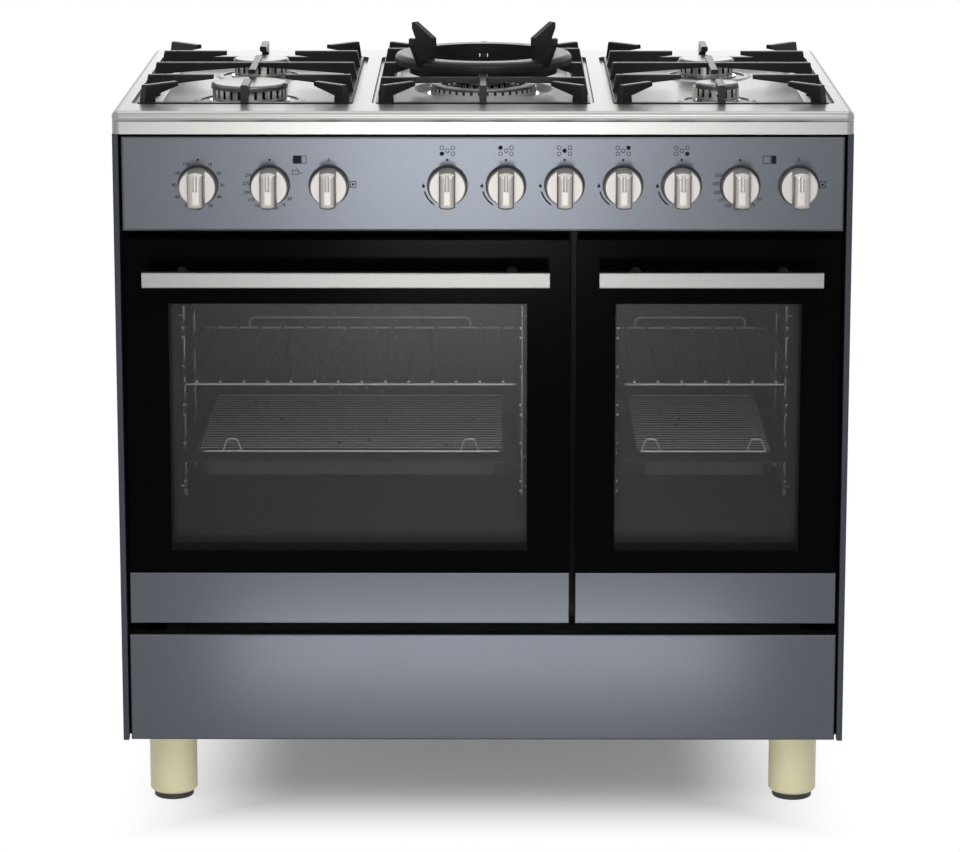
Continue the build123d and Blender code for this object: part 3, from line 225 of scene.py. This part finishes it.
# Control panel, door strips and drawer front: folded steel sheet in blue-grey metallic paint.
# Aluminium flakes in the paint give a satin shine with a faint sparkle. They are drawn 0.67 mm
# across, coarser than real ones, so that they show close to.
flake_mm = 0.667
cloud_mm = 200.0
metallic_paint, tree, shader, place = start_finish("blue_grey_metallic_paint")
flake = add_node(tree, "ShaderNodeTexVoronoi", {"Vector": place, "Scale": 1000 / flake_mm, "Randomness": 1.0})
cloud = add_node(tree, "ShaderNodeTexNoise", {"Vector": place, "Scale": 1000 / cloud_mm, "Detail": 2.0})
tone = add_node(tree, "ShaderNodeValToRGB", {"Fac": flake.outputs["Color"]})
tone.color_ramp.elements[0].color = linear("#4C4F55")
tone.color_ramp.elements[1].color = linear("#54575D")
rough = add_node(tree, "ShaderNodeMapRange", {"Value": cloud.outputs["Fac"], "To Min": 0.27, "To Max": 0.3})
tree.links.new(tone.outputs["Color"], shader.inputs["Base Color"])
tree.links.new(rough.outputs[0], shader.inputs["Roughness"])
shader.inputs["Metallic"].default_value = 0.9
dress(metallic_paint, "control_panel", "main_door_strip", "side_door_strip", "drawer_front")

# Side panels: folded steel sheet, powder coated slate grey, set darker than the front paint as painted shade
# for the side hems.
# Powder melts into an even orange peel of about 1.4 mm, with a dull shine.
peel_mm = 1.43
side_paint_with_painted_shade, tree, shader, place = start_finish("side_powder_coat_with_painted_shade")
peel = add_node(tree, "ShaderNodeTexNoise", {"Vector": place, "Scale": 1000 / peel_mm, "Detail": 2.0})
tone = add_node(tree, "ShaderNodeValToRGB", {"Fac": peel.outputs["Fac"]})
# These greys are darker than the front paint: painted shade for the side hems, which fall in shadow.
tone.color_ramp.elements[0].color = linear("#3A3D45")
tone.color_ramp.elements[1].color = linear("#42454D")
bump = add_node(tree, "ShaderNodeBump", {"Height": peel.outputs["Fac"], "Strength": 0.2, "Distance": 0.0004})
tree.links.new(tone.outputs["Color"], shader.inputs["Base Color"])
tree.links.new(bump.outputs["Normal"], shader.inputs["Normal"])
shader.inputs["Roughness"].default_value = 0.5
shader.inputs["Specular IOR Level"].default_value = 0.12
dress(side_paint_with_painted_shade, "side_panels")

# Front frame and door liners: pressed steel in gloss black vitreous enamel.
# Fired glass on steel: deep black and smooth, with slight waves about 11 mm apart from the firing.
wave_mm = 11.1
black_enamel, tree, shader, place = start_finish("black_vitreous_enamel")
wave = add_node(tree, "ShaderNodeTexNoise", {"Vector": place, "Scale": 1000 / wave_mm, "Detail": 1.0})
bump = add_node(tree, "ShaderNodeBump", {"Height": wave.outputs["Fac"], "Strength": 0.06, "Distance": 0.001})
tone = add_node(tree, "ShaderNodeValToRGB", {"Fac": wave.outputs["Fac"]})
tone.color_ramp.elements[0].color = linear("#0D0D0E")
tone.color_ramp.elements[1].color = linear("#131315")
tree.links.new(tone.outputs["Color"], shader.inputs["Base Color"])
tree.links.new(bump.outputs["Normal"], shader.inputs["Normal"])
shader.inputs["Roughness"].default_value = 0.22
shader.inputs["IOR"].default_value = 1.52
shader.inputs["Specular IOR Level"].default_value = 0.04
dress(black_enamel, "front_frame", "main_door_liner", "side_door_liner")

# Oven boxes, fan cover and roasting trays: pressed steel in grey oven enamel, fired on.
# The enamel is speckled with slightly paler grit about 2.4 mm apart.
# A speck fades from its core to its rim, both as shares of that distance.
grit_mm = 2.38
grit_core = 0.12
grit_rim = 0.26
oven_enamel, tree, shader, place = start_finish("speckled_oven_enamel")
grit = add_node(tree, "ShaderNodeTexVoronoi", {"Vector": place, "Scale": 1000 / grit_mm, "Randomness": 1.0})
dots = add_node(tree, "ShaderNodeValToRGB", {"Fac": grit.outputs["Distance"]})
dots.color_ramp.elements[0].position = grit_core
dots.color_ramp.elements[0].color = linear("#5B5B5A")
dots.color_ramp.elements[1].position = grit_rim
dots.color_ramp.elements[1].color = linear("#525252")
tree.links.new(dots.outputs["Color"], shader.inputs["Base Color"])
shader.inputs["Roughness"].default_value = 0.48
shader.inputs["IOR"].default_value = 1.52
dress(oven_enamel, "oven_cavities", "fan_cover", "roasting_trays")

# Oven wrap: a blanket of yellow-brown mineral wool between the oven boxes and the outer sheets.
# Loose fibre: no shine, cloudy colour, tufts about 4 mm across.
fibre_mm = 3.85
wool, tree, shader, place = start_finish("mineral_wool")
fibre = add_node(
    tree,
    "ShaderNodeTexNoise",
    {"Vector": place, "Scale": 1000 / fibre_mm, "Detail": 6.0, "Distortion": 1.5},
)
tone = add_node(tree, "ShaderNodeValToRGB", {"Fac": fibre.outputs["Fac"]})
tone.color_ramp.elements[0].color = linear("#A79A73")
tone.color_ramp.elements[1].color = linear("#D9CFA8")
bump = add_node(tree, "ShaderNodeBump", {"Height": fibre.outputs["Fac"], "Strength": 0.7, "Distance": 0.003})
tree.links.new(tone.outputs["Color"], shader.inputs["Base Color"])
tree.links.new(bump.outputs["Normal"], shader.inputs["Normal"])
shader.inputs["Roughness"].default_value = 0.95
dress(wool, "oven_insulation")

# Door seals: woven glass-fibre rope, fixed to the front frame round each oven mouth.
# Each is one closed loop of soft rope, pressed a little flat, with round corners.
# The braid is dark and dull, with strands about 2.3 mm apart.
seal_mid_y = -0.22535
seal_half_width = 0.0044
seal_half_depth = 0.0028
seal_corner = 0.009
seal_corner_steps = 8
seal_rope_steps = 5
seal_z = (0.3165, 0.675)
seal_spans = [(-0.396, 0.0654), (0.1516, 0.401)]
strand_mm = 2.27
# At a scale of 1, diagonal bands lie this far apart, in metres.
band_pitch = pi / (5 * sqrt(3))
seal_braid, tree, shader, place = start_finish("woven_glass_seal")
braid = add_node(
    tree,
    "ShaderNodeTexWave",
    {"Vector": place, "Scale": 1000 * band_pitch / strand_mm, "Distortion": 2.0},
    bands_direction="DIAGONAL",
)
tone = add_node(tree, "ShaderNodeValToRGB", {"Fac": braid.outputs["Fac"]})
tone.color_ramp.elements[0].color = linear("#1B1B1B")
tone.color_ramp.elements[1].color = linear("#343433")
bump = add_node(tree, "ShaderNodeBump", {"Height": braid.outputs["Fac"], "Strength": 0.5, "Distance": 0.001})
tree.links.new(tone.outputs["Color"], shader.inputs["Base Color"])
tree.links.new(bump.outputs["Normal"], shader.inputs["Normal"])
shader.inputs["Roughness"].default_value = 0.85
loops = []
for left, right in seal_spans:
    bpy.ops.object.select_all(action="DESELECT")
    middle = ((left + right) / 2, seal_mid_y, (seal_z[0] + seal_z[1]) / 2)
    bpy.ops.mesh.primitive_plane_add(size=1.0, location=middle, rotation=(pi / 2, 0, 0))
    loop = bpy.context.object
    loop.scale = (right - left, seal_z[1] - seal_z[0], 1.0)
    bpy.ops.object.transform_apply(location=False, rotation=True, scale=True)
    bpy.ops.object.mode_set(mode="EDIT")
    bpy.ops.mesh.select_all(action="SELECT")
    bpy.ops.mesh.bevel(affect="VERTICES", offset=seal_corner, segments=seal_corner_steps)
    bpy.ops.mesh.delete(type="ONLY_FACE")
    bpy.ops.object.mode_set(mode="OBJECT")
    bpy.ops.object.convert(target="CURVE")
    loop = bpy.context.object
    loop.data.bevel_depth = seal_half_width
    loop.data.bevel_resolution = seal_rope_steps
    bpy.ops.object.convert(target="MESH")
    loop = bpy.context.object
    loop.scale = (1.0, seal_half_depth / seal_half_width, 1.0)
    bpy.ops.object.transform_apply(location=True, rotation=True, scale=True)
    bpy.ops.object.shade_smooth()
    loops.append(loop)
bpy.ops.object.select_all(action="DESELECT")
for loop in loops:
    loop.select_set(True)
bpy.context.view_layer.objects.active = loops[0]
bpy.ops.object.join()
oven_seals = bpy.context.object
oven_seals.name = "oven_seals"
oven_seals.data.materials.clear()
oven_seals.data.materials.append(seal_braid)
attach(oven_seals, "cooker_body")
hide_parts("oven_gaskets")

# Shelves, tray grids and side racks: chromed steel wire, bent and spot welded.
# The plating is bright, with a faint haze in patches about 7 mm across.
haze_mm = 7.14
chrome_wire, tree, shader, place = start_finish("chromed_wire")
haze = add_node(tree, "ShaderNodeTexNoise", {"Vector": place, "Scale": 1000 / haze_mm, "Detail": 3.0})
rough = add_node(tree, "ShaderNodeMapRange", {"Value": haze.outputs["Fac"], "To Min": 0.24, "To Max": 0.36})
tree.links.new(rough.outputs[0], shader.inputs["Roughness"])
shader.inputs["Base Color"].default_value = linear("#F0F0EE")
shader.inputs["Metallic"].default_value = 1.0
dress(chrome_wire, "wire_shelves", "shelf_ladders")

# Oven elements: bent steel tubes under each oven's roof and in a ring round the fan.
# Their skin is dark oxide, blotched about every 4.5 mm.
oxide_mm = 4.55
element_skin, tree, shader, place = start_finish("oxidised_element_steel")
oxide = add_node(tree, "ShaderNodeTexNoise", {"Vector": place, "Scale": 1000 / oxide_mm, "Detail": 4.0})
tone = add_node(tree, "ShaderNodeValToRGB", {"Fac": oxide.outputs["Fac"]})
tone.color_ramp.elements[0].color = linear("#3C3632")
tone.color_ramp.elements[1].color = linear("#5F5852")
tree.links.new(tone.outputs["Color"], shader.inputs["Base Color"])
shader.inputs["Metallic"].default_value = 0.6
shader.inputs["Roughness"].default_value = 0.5
dress(element_skin, "heating_elements")

# Fan wheel, fan motor and tap spindles: zinc-plated steel.
# The plating is plain grey metal, with a haze in patches about 17 mm across.
haze_mm = 16.7
burners = ("front_left", "rear_left", "wok", "rear_right", "front_right")
plated_steel, tree, shader, place = start_finish("zinc_plated_steel")
haze = add_node(tree, "ShaderNodeTexNoise", {"Vector": place, "Scale": 1000 / haze_mm, "Detail": 4.0})
rough = add_node(tree, "ShaderNodeMapRange", {"Value": haze.outputs["Fac"], "To Min": 0.25, "To Max": 0.42})
tree.links.new(rough.outputs[0], shader.inputs["Roughness"])
shader.inputs["Base Color"].default_value = linear("#A9ACAE")
shader.inputs["Metallic"].default_value = 1.0
spindles = [burner + "_gas_spindle" for burner in burners]
dress(plated_steel, "fan_impeller", "fan_motor", *spindles)

# Outer door panes: toughened glass, printed black except for the window.
# The window is a lightly smoked rectangle, and outside it the print is solid.
# The print covers the window by a small share, and its edge is as sharp as screen printing.
window_z = (0.3385, 0.650)
windows = {"main_door": (-0.385, 0.0544), "side_door": (0.1626, 0.390)}
window_cover = 0.12
print_edge = 0.0003
for door, window_x in windows.items():
    smoked_glass, tree, shader, place = start_finish(door + "_printed_glass")
    split = add_node(tree, "ShaderNodeSeparateXYZ", {"Vector": place})
    distances = []
    for axis, (low, high) in (("X", window_x), ("Z", window_z)):
        middle = (low + high) / 2
        offset = add_node(tree, "ShaderNodeMath", {0: split.outputs[axis], 1: middle}, operation="SUBTRACT")
        reach = add_node(tree, "ShaderNodeMath", {0: offset.outputs[0]}, operation="ABSOLUTE")
        half = (high - low) / 2
        past = add_node(tree, "ShaderNodeMath", {0: reach.outputs[0], 1: half}, operation="SUBTRACT")
        distances.append(past.outputs[0])
    outside = add_node(tree, "ShaderNodeMath", {0: distances[0], 1: distances[1]}, operation="MAXIMUM")
    printed = add_node(
        tree,
        "ShaderNodeMapRange",
        {"Value": outside.outputs[0], "From Min": -print_edge, "From Max": print_edge},
    )
    cover = add_node(
        tree, "ShaderNodeMapRange", {"Value": printed.outputs[0], "To Min": window_cover, "To Max": 1.0}
    )
    tone = add_node(tree, "ShaderNodeValToRGB", {"Fac": printed.outputs[0]})
    tone.color_ramp.elements[0].color = linear("#303032")
    tone.color_ramp.elements[1].color = linear("#040405")
    tree.links.new(cover.outputs[0], shader.inputs["Alpha"])
    tree.links.new(tone.outputs["Color"], shader.inputs["Base Color"])
    shader.inputs["Roughness"].default_value = 0.15
    shader.inputs["Specular IOR Level"].default_value = 0.015
    dress(smoked_glass, door + "_glass")

# Inner door panes: heat-resisting glass in the doors, with a thin heat-reflecting coat.
# The coat makes the pane greyer than plain glass, with a stronger and softer shine.
clear_glass, tree, shader, place = start_finish("clear_oven_glass")
shader.inputs["Base Color"].default_value = linear("#2A2C2C")
shader.inputs["Alpha"].default_value = 0.3
shader.inputs["Roughness"].default_value = 0.25
shader.inputs["IOR"].default_value = 1.7
dress(clear_glass, "main_door_inner_glass", "side_door_inner_glass")

# Door handles: flat extruded aluminium bars on two posts, brushed lengthways and anodised.
# The brushing runs along the bar, so the streaks are long in X. They are drawn 1.1 mm wide,
# coarser than real ones, so that they show.
streak_length_mm = 167.0
streak_width_mm = 1.11
brushed_bar, tree, shader, place = start_finish("brushed_anodised_aluminium")
streaks = (1000 / streak_length_mm, 1000 / streak_width_mm, 1000 / streak_width_mm)
along = add_node(tree, "ShaderNodeMapping", {"Vector": place, "Scale": streaks})
streak = add_node(tree, "ShaderNodeTexNoise", {"Vector": along.outputs[0], "Scale": 1.0, "Detail": 3.0})
tone = add_node(tree, "ShaderNodeValToRGB", {"Fac": streak.outputs["Fac"]})
tone.color_ramp.elements[0].color = linear("#787876")
tone.color_ramp.elements[1].color = linear("#8A8A88")
rough = add_node(tree, "ShaderNodeMapRange", {"Value": streak.outputs["Fac"], "To Min": 0.3, "To Max": 0.4})
tree.links.new(tone.outputs["Color"], shader.inputs["Base Color"])
tree.links.new(rough.outputs[0], shader.inputs["Roughness"])
shader.inputs["Metallic"].default_value = 1.0
dress(brushed_bar, "main_door_handle", "side_door_handle")

# Knobs: die castings on the spindles, plated in a warm satin silver.
# The blasted grain of about 0.6 mm shows only close to.
blast_mm = 0.625
switches = ("timer", "main_thermostat", "main_selector", "side_thermostat", "side_selector")
satin_silver, tree, shader, place = start_finish("satin_silver_plate")
blast = add_node(tree, "ShaderNodeTexNoise", {"Vector": place, "Scale": 1000 / blast_mm, "Detail": 2.0})
tone = add_node(tree, "ShaderNodeValToRGB", {"Fac": blast.outputs["Fac"]})
tone.color_ramp.elements[0].color = linear("#A8A4A0")
tone.color_ramp.elements[1].color = linear("#B8B4B0")
bump = add_node(
    tree, "ShaderNodeBump", {"Height": blast.outputs["Fac"], "Strength": 0.08, "Distance": 0.0002}
)
tree.links.new(tone.outputs["Color"], shader.inputs["Base Color"])
tree.links.new(bump.outputs["Normal"], shader.inputs["Normal"])
shader.inputs["Metallic"].default_value = 0.8
shader.inputs["Roughness"].default_value = 0.42
gas_knobs = [burner + "_gas_knob" for burner in burners]
switch_knobs = [switch + "_knob" for switch in switches]
dress(satin_silver, *gas_knobs, *switch_knobs)

# Panel marks: dark ink screen printed on the control panel, a thin film on the paint.
# A small diamond or triangle stands over each knob, with plain numbers round the dials
# and simple signs for burners and ovens.
panel_face_y = -0.2685
ink_thickness = 0.00008
knob_axis_z = 0.797
tap_first_x = -0.043
tap_pitch = 0.0711
tap_x = [tap_first_x + tap_pitch * step for step in range(len(burners))]
dial_x = {"timer": -0.346, "main_heat": -0.259, "main_mode": -0.187, "side_heat": 0.3125, "side_mode": 0.3836}
dial_reach = 0.0292
figure_height = 0.0056
figure_weight = 0.00006
figure_steps = 3
ink_marks = []


def finish_mark(line):
    """Adds the active mark to the print, cut to an outline when a line width is given."""
    if line:
        bpy.ops.object.mode_set(mode="EDIT")
        bpy.ops.mesh.select_all(action="SELECT")
        bpy.ops.mesh.inset(thickness=line)
        bpy.ops.mesh.delete(type="FACE")
        bpy.ops.object.mode_set(mode="OBJECT")
    ink_marks.append(bpy.context.object)
    return bpy.context.object


def ink_disc(x, z, radius, corners=24, line=0.0):
    """A flat disc or polygon of ink, or only its outline when a line width is given."""
    bpy.ops.object.select_all(action="DESELECT")
    bpy.ops.mesh.primitive_circle_add(
        vertices=corners,
        radius=radius,
        fill_type="NGON",
        location=(x, panel_face_y, z),
        rotation=(pi / 2, 0, 0),
    )
    return finish_mark(line)


def ink_box(x, z, width, height, line=0.0):
    """A flat rectangle of ink, or only its outline when a line width is given."""
    bpy.ops.object.select_all(action="DESELECT")
    bpy.ops.mesh.primitive_plane_add(size=1.0, location=(x, panel_face_y, z), rotation=(pi / 2, 0, 0))
    bpy.context.object.scale = (width, height, 1.0)
    bpy.ops.object.transform_apply(location=False, rotation=False, scale=True)
    return finish_mark(line)


def ink_dial(x, numbers, first_turn, turn_step):
    """Plain sans figures as meshes, set clockwise round a dial from a first turn, in degrees."""
    for step, number in enumerate(numbers):
        turn = radians(first_turn + turn_step * step)
        middle = (x + dial_reach * sin(turn), panel_face_y, knob_axis_z + dial_reach * cos(turn))
        bpy.ops.object.select_all(action="DESELECT")
        bpy.ops.object.text_add(location=middle, rotation=(pi / 2, 0, 0))
        figures = bpy.context.object
        figures.data.body = str(number)
        figures.data.size = figure_height
        figures.data.align_x = "CENTER"
        figures.data.align_y = "CENTER"
        figures.data.resolution_u = figure_steps
        figures.data.offset = figure_weight
        bpy.ops.object.convert(target="MESH")
        finish_mark(0.0)


# Index marks, and the lamp sign beside each selector
index_rise = 0.0312
index_radius = 0.0019
arrow_radius = 0.00285
arrow_line = 0.000665
lamp_z = knob_axis_z + 0.001
lamp_width = 0.0078
lamp_height = 0.0084
lamp_line = 0.0009
lamp_dot = 0.0016
for x in [*tap_x, dial_x["timer"], dial_x["main_heat"], dial_x["side_heat"]]:
    ink_disc(x, knob_axis_z + index_rise, index_radius, corners=4)
for x in (dial_x["main_mode"], dial_x["side_mode"]):
    ink_disc(x, knob_axis_z + index_rise, arrow_radius, corners=3, line=arrow_line)
    ink_box(x + dial_reach, lamp_z, lamp_width, lamp_height, line=lamp_line)
    ink_disc(x + dial_reach, lamp_z, lamp_dot)

# Dial numbers: minutes on the timer, degrees of heat on the thermostats
minutes = range(10, 120, 10)
minute_turn = 30
heats = range(50, 275, 25)
heat_first_turn = 125
heat_turn = 21.25
ink_dial(dial_x["timer"], minutes, minute_turn, minute_turn)
for dial in ("main_heat", "side_heat"):
    ink_dial(dial_x[dial], heats, heat_first_turn, heat_turn)

# Tap signs: the five burners with the tap's own one filled, a flame, and a sweep to the low flame
burner_sign_z = 0.8395
sign_x = 0.0066
sign_z = 0.0037
sign_radius = 0.0027
sign_line = 0.0008
burner_spots = [(-sign_x, -sign_z), (-sign_x, sign_z), (0.0, 0.0), (sign_x, sign_z), (sign_x, -sign_z)]
flame_turn = radians(-92)
flame_radius = 0.0019
flame_corners = 16
flame_tip = 0.0022
sweep_radius = dial_reach + 0.0005
sweep_line = 0.0018
sweep_corners = 96
sweep_turns = (radians(-146), radians(-104))
for own, x in enumerate(tap_x):
    for spot, (across, up) in enumerate(burner_spots):
        line = 0.0 if spot == own else sign_line
        ink_disc(x + across, burner_sign_z + up, sign_radius, line=line)
    flame_x = x + dial_reach * sin(flame_turn)
    flame_z = knob_axis_z + dial_reach * cos(flame_turn)
    flame = ink_disc(flame_x, flame_z, flame_radius, corners=flame_corners)
    tip = max(flame.data.vertices, key=lambda corner: corner.co.y)
    tip.co.y += flame_tip
    sweep = ink_disc(x, knob_axis_z, sweep_radius, corners=sweep_corners, line=sweep_line)
    bpy.ops.object.mode_set(mode="EDIT")
    bpy.ops.mesh.select_all(action="DESELECT")
    bpy.ops.object.mode_set(mode="OBJECT")
    for face in sweep.data.polygons:
        turn = atan2(face.center.x, face.center.y)
        face.select = not sweep_turns[0] < turn < sweep_turns[1]
    bpy.ops.object.mode_set(mode="EDIT")
    bpy.ops.mesh.delete(type="FACE")
    bpy.ops.object.mode_set(mode="OBJECT")

# Oven signs: a wide and a narrow box for the two ovens, with the dial's own one filled
oven_sign_z = 0.8285
oven_sign_height = 0.0100
main_sign_shift = -0.0030
main_sign_width = 0.0100
side_sign_shift = 0.0054
side_sign_width = 0.0060
for sign_mid, main_filled in ((-0.2226, True), (0.3478, False)):
    ovens = (
        (main_sign_shift, main_sign_width, main_filled),
        (side_sign_shift, side_sign_width, not main_filled),
    )
    for shift, width, filled in ovens:
        line = 0.0 if filled else sign_line
        ink_box(sign_mid + shift, oven_sign_z, width, oven_sign_height, line=line)

# Tray sign: an outlined box with a short bar beside it and a small triangle over it
tray_x = -0.2275
tray_z = 0.8130
tray_width = 0.0086
tray_height = 0.0056
tray_bar_shift = 0.0070
tray_bar_drop = 0.0010
tray_bar_width = 0.0042
tray_bar_height = 0.0009
tray_arrow_shift = 0.0012
tray_arrow_rise = 0.0046
tray_arrow_radius = 0.0011
ink_box(tray_x, tray_z, tray_width, tray_height, line=sign_line)
ink_box(tray_x + tray_bar_shift, tray_z - tray_bar_drop, tray_bar_width, tray_bar_height)
ink_disc(tray_x + tray_arrow_shift, tray_z + tray_arrow_rise, tray_arrow_radius, corners=3)

# The marks become one film. The screen's mesh of 0.4 mm shows only close to.
screen_mm = 0.4
bpy.ops.object.select_all(action="DESELECT")
for mark in ink_marks:
    mark.select_set(True)
bpy.context.view_layer.objects.active = ink_marks[0]
bpy.ops.object.join()
panel_print = bpy.context.object
panel_print.name = "panel_print"
bpy.ops.object.transform_apply(location=True, rotation=True, scale=True)
film = panel_print.modifiers.new("film", "SOLIDIFY")
film.thickness = ink_thickness
film.offset = 1.0
bpy.ops.object.modifier_apply(modifier=film.name)
screen_ink, tree, shader, place = start_finish("screen_printed_ink")
screen = add_node(tree, "ShaderNodeTexNoise", {"Vector": place, "Scale": 1000 / screen_mm, "Detail": 1.0})
tone = add_node(tree, "ShaderNodeValToRGB", {"Fac": screen.outputs["Fac"]})
tone.color_ramp.elements[0].color = linear("#15171B")
tone.color_ramp.elements[1].color = linear("#1D2025")
tree.links.new(tone.outputs["Color"], shader.inputs["Base Color"])
shader.inputs["Roughness"].default_value = 0.6
shader.inputs["Specular IOR Level"].default_value = 0.1
panel_print.data.materials.clear()
panel_print.data.materials.append(screen_ink)
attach(panel_print, "cooker_body")

# Gas taps: machined brass bodies behind the control panel, over the supply rail.
# The brass is yellow and a little dull, in patches about 8 mm across.
dull_mm = 7.69
tap_brass, tree, shader, place = start_finish("machined_brass")
dull = add_node(tree, "ShaderNodeTexNoise", {"Vector": place, "Scale": 1000 / dull_mm, "Detail": 4.0})
tone = add_node(tree, "ShaderNodeValToRGB", {"Fac": dull.outputs["Fac"]})
tone.color_ramp.elements[0].color = linear("#A88747")
tone.color_ramp.elements[1].color = linear("#D0B26B")
tree.links.new(tone.outputs["Color"], shader.inputs["Base Color"])
shader.inputs["Metallic"].default_value = 1.0
shader.inputs["Roughness"].default_value = 0.35
dress(tap_brass, "gas_valves")

# Gas pipes: a rail under the taps and a bent feed pipe to each burner, in drawn aluminium.
# The tube is grey and slightly dull, with a haze in patches about 11 mm across.
haze_mm = 11.1
drawn_tube, tree, shader, place = start_finish("drawn_aluminium_tube")
haze = add_node(tree, "ShaderNodeTexNoise", {"Vector": place, "Scale": 1000 / haze_mm, "Detail": 3.0})
rough = add_node(tree, "ShaderNodeMapRange", {"Value": haze.outputs["Fac"], "To Min": 0.3, "To Max": 0.45})
tree.links.new(rough.outputs[0], shader.inputs["Roughness"])
shader.inputs["Base Color"].default_value = linear("#B9BABA")
shader.inputs["Metallic"].default_value = 1.0
dress(drawn_tube, "gas_pipework")

# Hob top: one pressing of stainless steel with three wells, brushed from side to side.
# Brushing gives fine streaks along X, drawn 0.6 mm wide and 125 mm long.
streak_length_mm = 125.0
streak_width_mm = 0.625
brushed_steel, tree, shader, place = start_finish("brushed_stainless_steel")
streaks = (1000 / streak_length_mm, 1000 / streak_width_mm, 1000 / streak_width_mm)
along = add_node(tree, "ShaderNodeMapping", {"Vector": place, "Scale": streaks})
streak = add_node(tree, "ShaderNodeTexNoise", {"Vector": along.outputs[0], "Scale": 1.0, "Detail": 4.0})
tone = add_node(tree, "ShaderNodeValToRGB", {"Fac": streak.outputs["Fac"]})
tone.color_ramp.elements[0].color = linear("#929290")
tone.color_ramp.elements[1].color = linear("#9A9A98")
rough = add_node(tree, "ShaderNodeMapRange", {"Value": streak.outputs["Fac"], "To Min": 0.3, "To Max": 0.36})
bump = add_node(
    tree, "ShaderNodeBump", {"Height": streak.outputs["Fac"], "Strength": 0.015, "Distance": 0.0002}
)
tree.links.new(tone.outputs["Color"], shader.inputs["Base Color"])
tree.links.new(rough.outputs[0], shader.inputs["Roughness"])
tree.links.new(bump.outputs["Normal"], shader.inputs["Normal"])
shader.inputs["Metallic"].default_value = 1.0
dress(brushed_steel, "hob_top")

# Burner cups and crowns: polished aluminium die castings, with flame slots round the crown's rim.
# The skin is bright, and its tone and polish vary over about 3 mm.
cast_mm = 2.86
cast_alloy, tree, shader, place = start_finish("polished_burner_alloy")
cast = add_node(tree, "ShaderNodeTexNoise", {"Vector": place, "Scale": 1000 / cast_mm, "Detail": 4.0})
tone = add_node(tree, "ShaderNodeValToRGB", {"Fac": cast.outputs["Fac"]})
tone.color_ramp.elements[0].color = linear("#A9A9A7")
tone.color_ramp.elements[1].color = linear("#C2C2C0")
rough = add_node(tree, "ShaderNodeMapRange", {"Value": cast.outputs["Fac"], "To Min": 0.1, "To Max": 0.2})
tree.links.new(tone.outputs["Color"], shader.inputs["Base Color"])
tree.links.new(rough.outputs[0], shader.inputs["Roughness"])
shader.inputs["Metallic"].default_value = 1.0
dress(cast_alloy, "burner_cups", "burner_crowns")

# Burner caps: turned steel discs, polished, loose on the crowns.
# The steel is mid grey and shiny, and its tone drifts over about 25 mm.
polish_mm = 25.0
polished_cap, tree, shader, place = start_finish("polished_cap_steel")
polish = add_node(tree, "ShaderNodeTexNoise", {"Vector": place, "Scale": 1000 / polish_mm, "Detail": 3.0})
tone = add_node(tree, "ShaderNodeValToRGB", {"Fac": polish.outputs["Fac"]})
tone.color_ramp.elements[0].color = linear("#5C5C5B")
tone.color_ramp.elements[1].color = linear("#6E6E6D")
tree.links.new(tone.outputs["Color"], shader.inputs["Base Color"])
shader.inputs["Metallic"].default_value = 1.0
shader.inputs["Roughness"].default_value = 0.28
dress(polished_cap, "burner_caps")

# Igniters and flame probes: glazed ceramic sleeves beside each burner.
# The glaze is smooth, and varies from white to pale cream over about 6 mm.
glaze_mm = 6.25
ceramic, tree, shader, place = start_finish("glazed_ceramic")
glaze = add_node(tree, "ShaderNodeTexNoise", {"Vector": place, "Scale": 1000 / glaze_mm, "Detail": 3.0})
tone = add_node(tree, "ShaderNodeValToRGB", {"Fac": glaze.outputs["Fac"]})
tone.color_ramp.elements[0].color = linear("#D2CDC0")
tone.color_ramp.elements[1].color = linear("#F0EEE8")
tree.links.new(tone.outputs["Color"], shader.inputs["Base Color"])
shader.inputs["Roughness"].default_value = 0.25
dress(ceramic, "burner_probes")

# Pan supports and wok ring: iron castings in matt black enamel, loose on the hob.
# Sand casting leaves a grain of about a millimetre, and the black is cloudy over some 30 mm.
sand_mm = 1.11
cloud_mm = 28.6
cast_iron, tree, shader, place = start_finish("enamelled_cast_iron")
sand = add_node(tree, "ShaderNodeTexNoise", {"Vector": place, "Scale": 1000 / sand_mm, "Detail": 3.0})
cloud = add_node(tree, "ShaderNodeTexNoise", {"Vector": place, "Scale": 1000 / cloud_mm, "Detail": 2.0})
tone = add_node(tree, "ShaderNodeValToRGB", {"Fac": cloud.outputs["Fac"]})
tone.color_ramp.elements[0].color = linear("#17171A")
tone.color_ramp.elements[1].color = linear("#202022")
rough = add_node(tree, "ShaderNodeMapRange", {"Value": sand.outputs["Fac"], "To Min": 0.26, "To Max": 0.42})
bump = add_node(tree, "ShaderNodeBump", {"Height": sand.outputs["Fac"], "Strength": 0.12, "Distance": 0.0004})
tree.links.new(tone.outputs["Color"], shader.inputs["Base Color"])
tree.links.new(rough.outputs[0], shader.inputs["Roughness"])
tree.links.new(bump.outputs["Normal"], shader.inputs["Normal"])
shader.inputs["Specular IOR Level"].default_value = 0.2
dress(cast_iron, "left_pan_support", "centre_pan_support", "right_pan_support", "wok_ring")
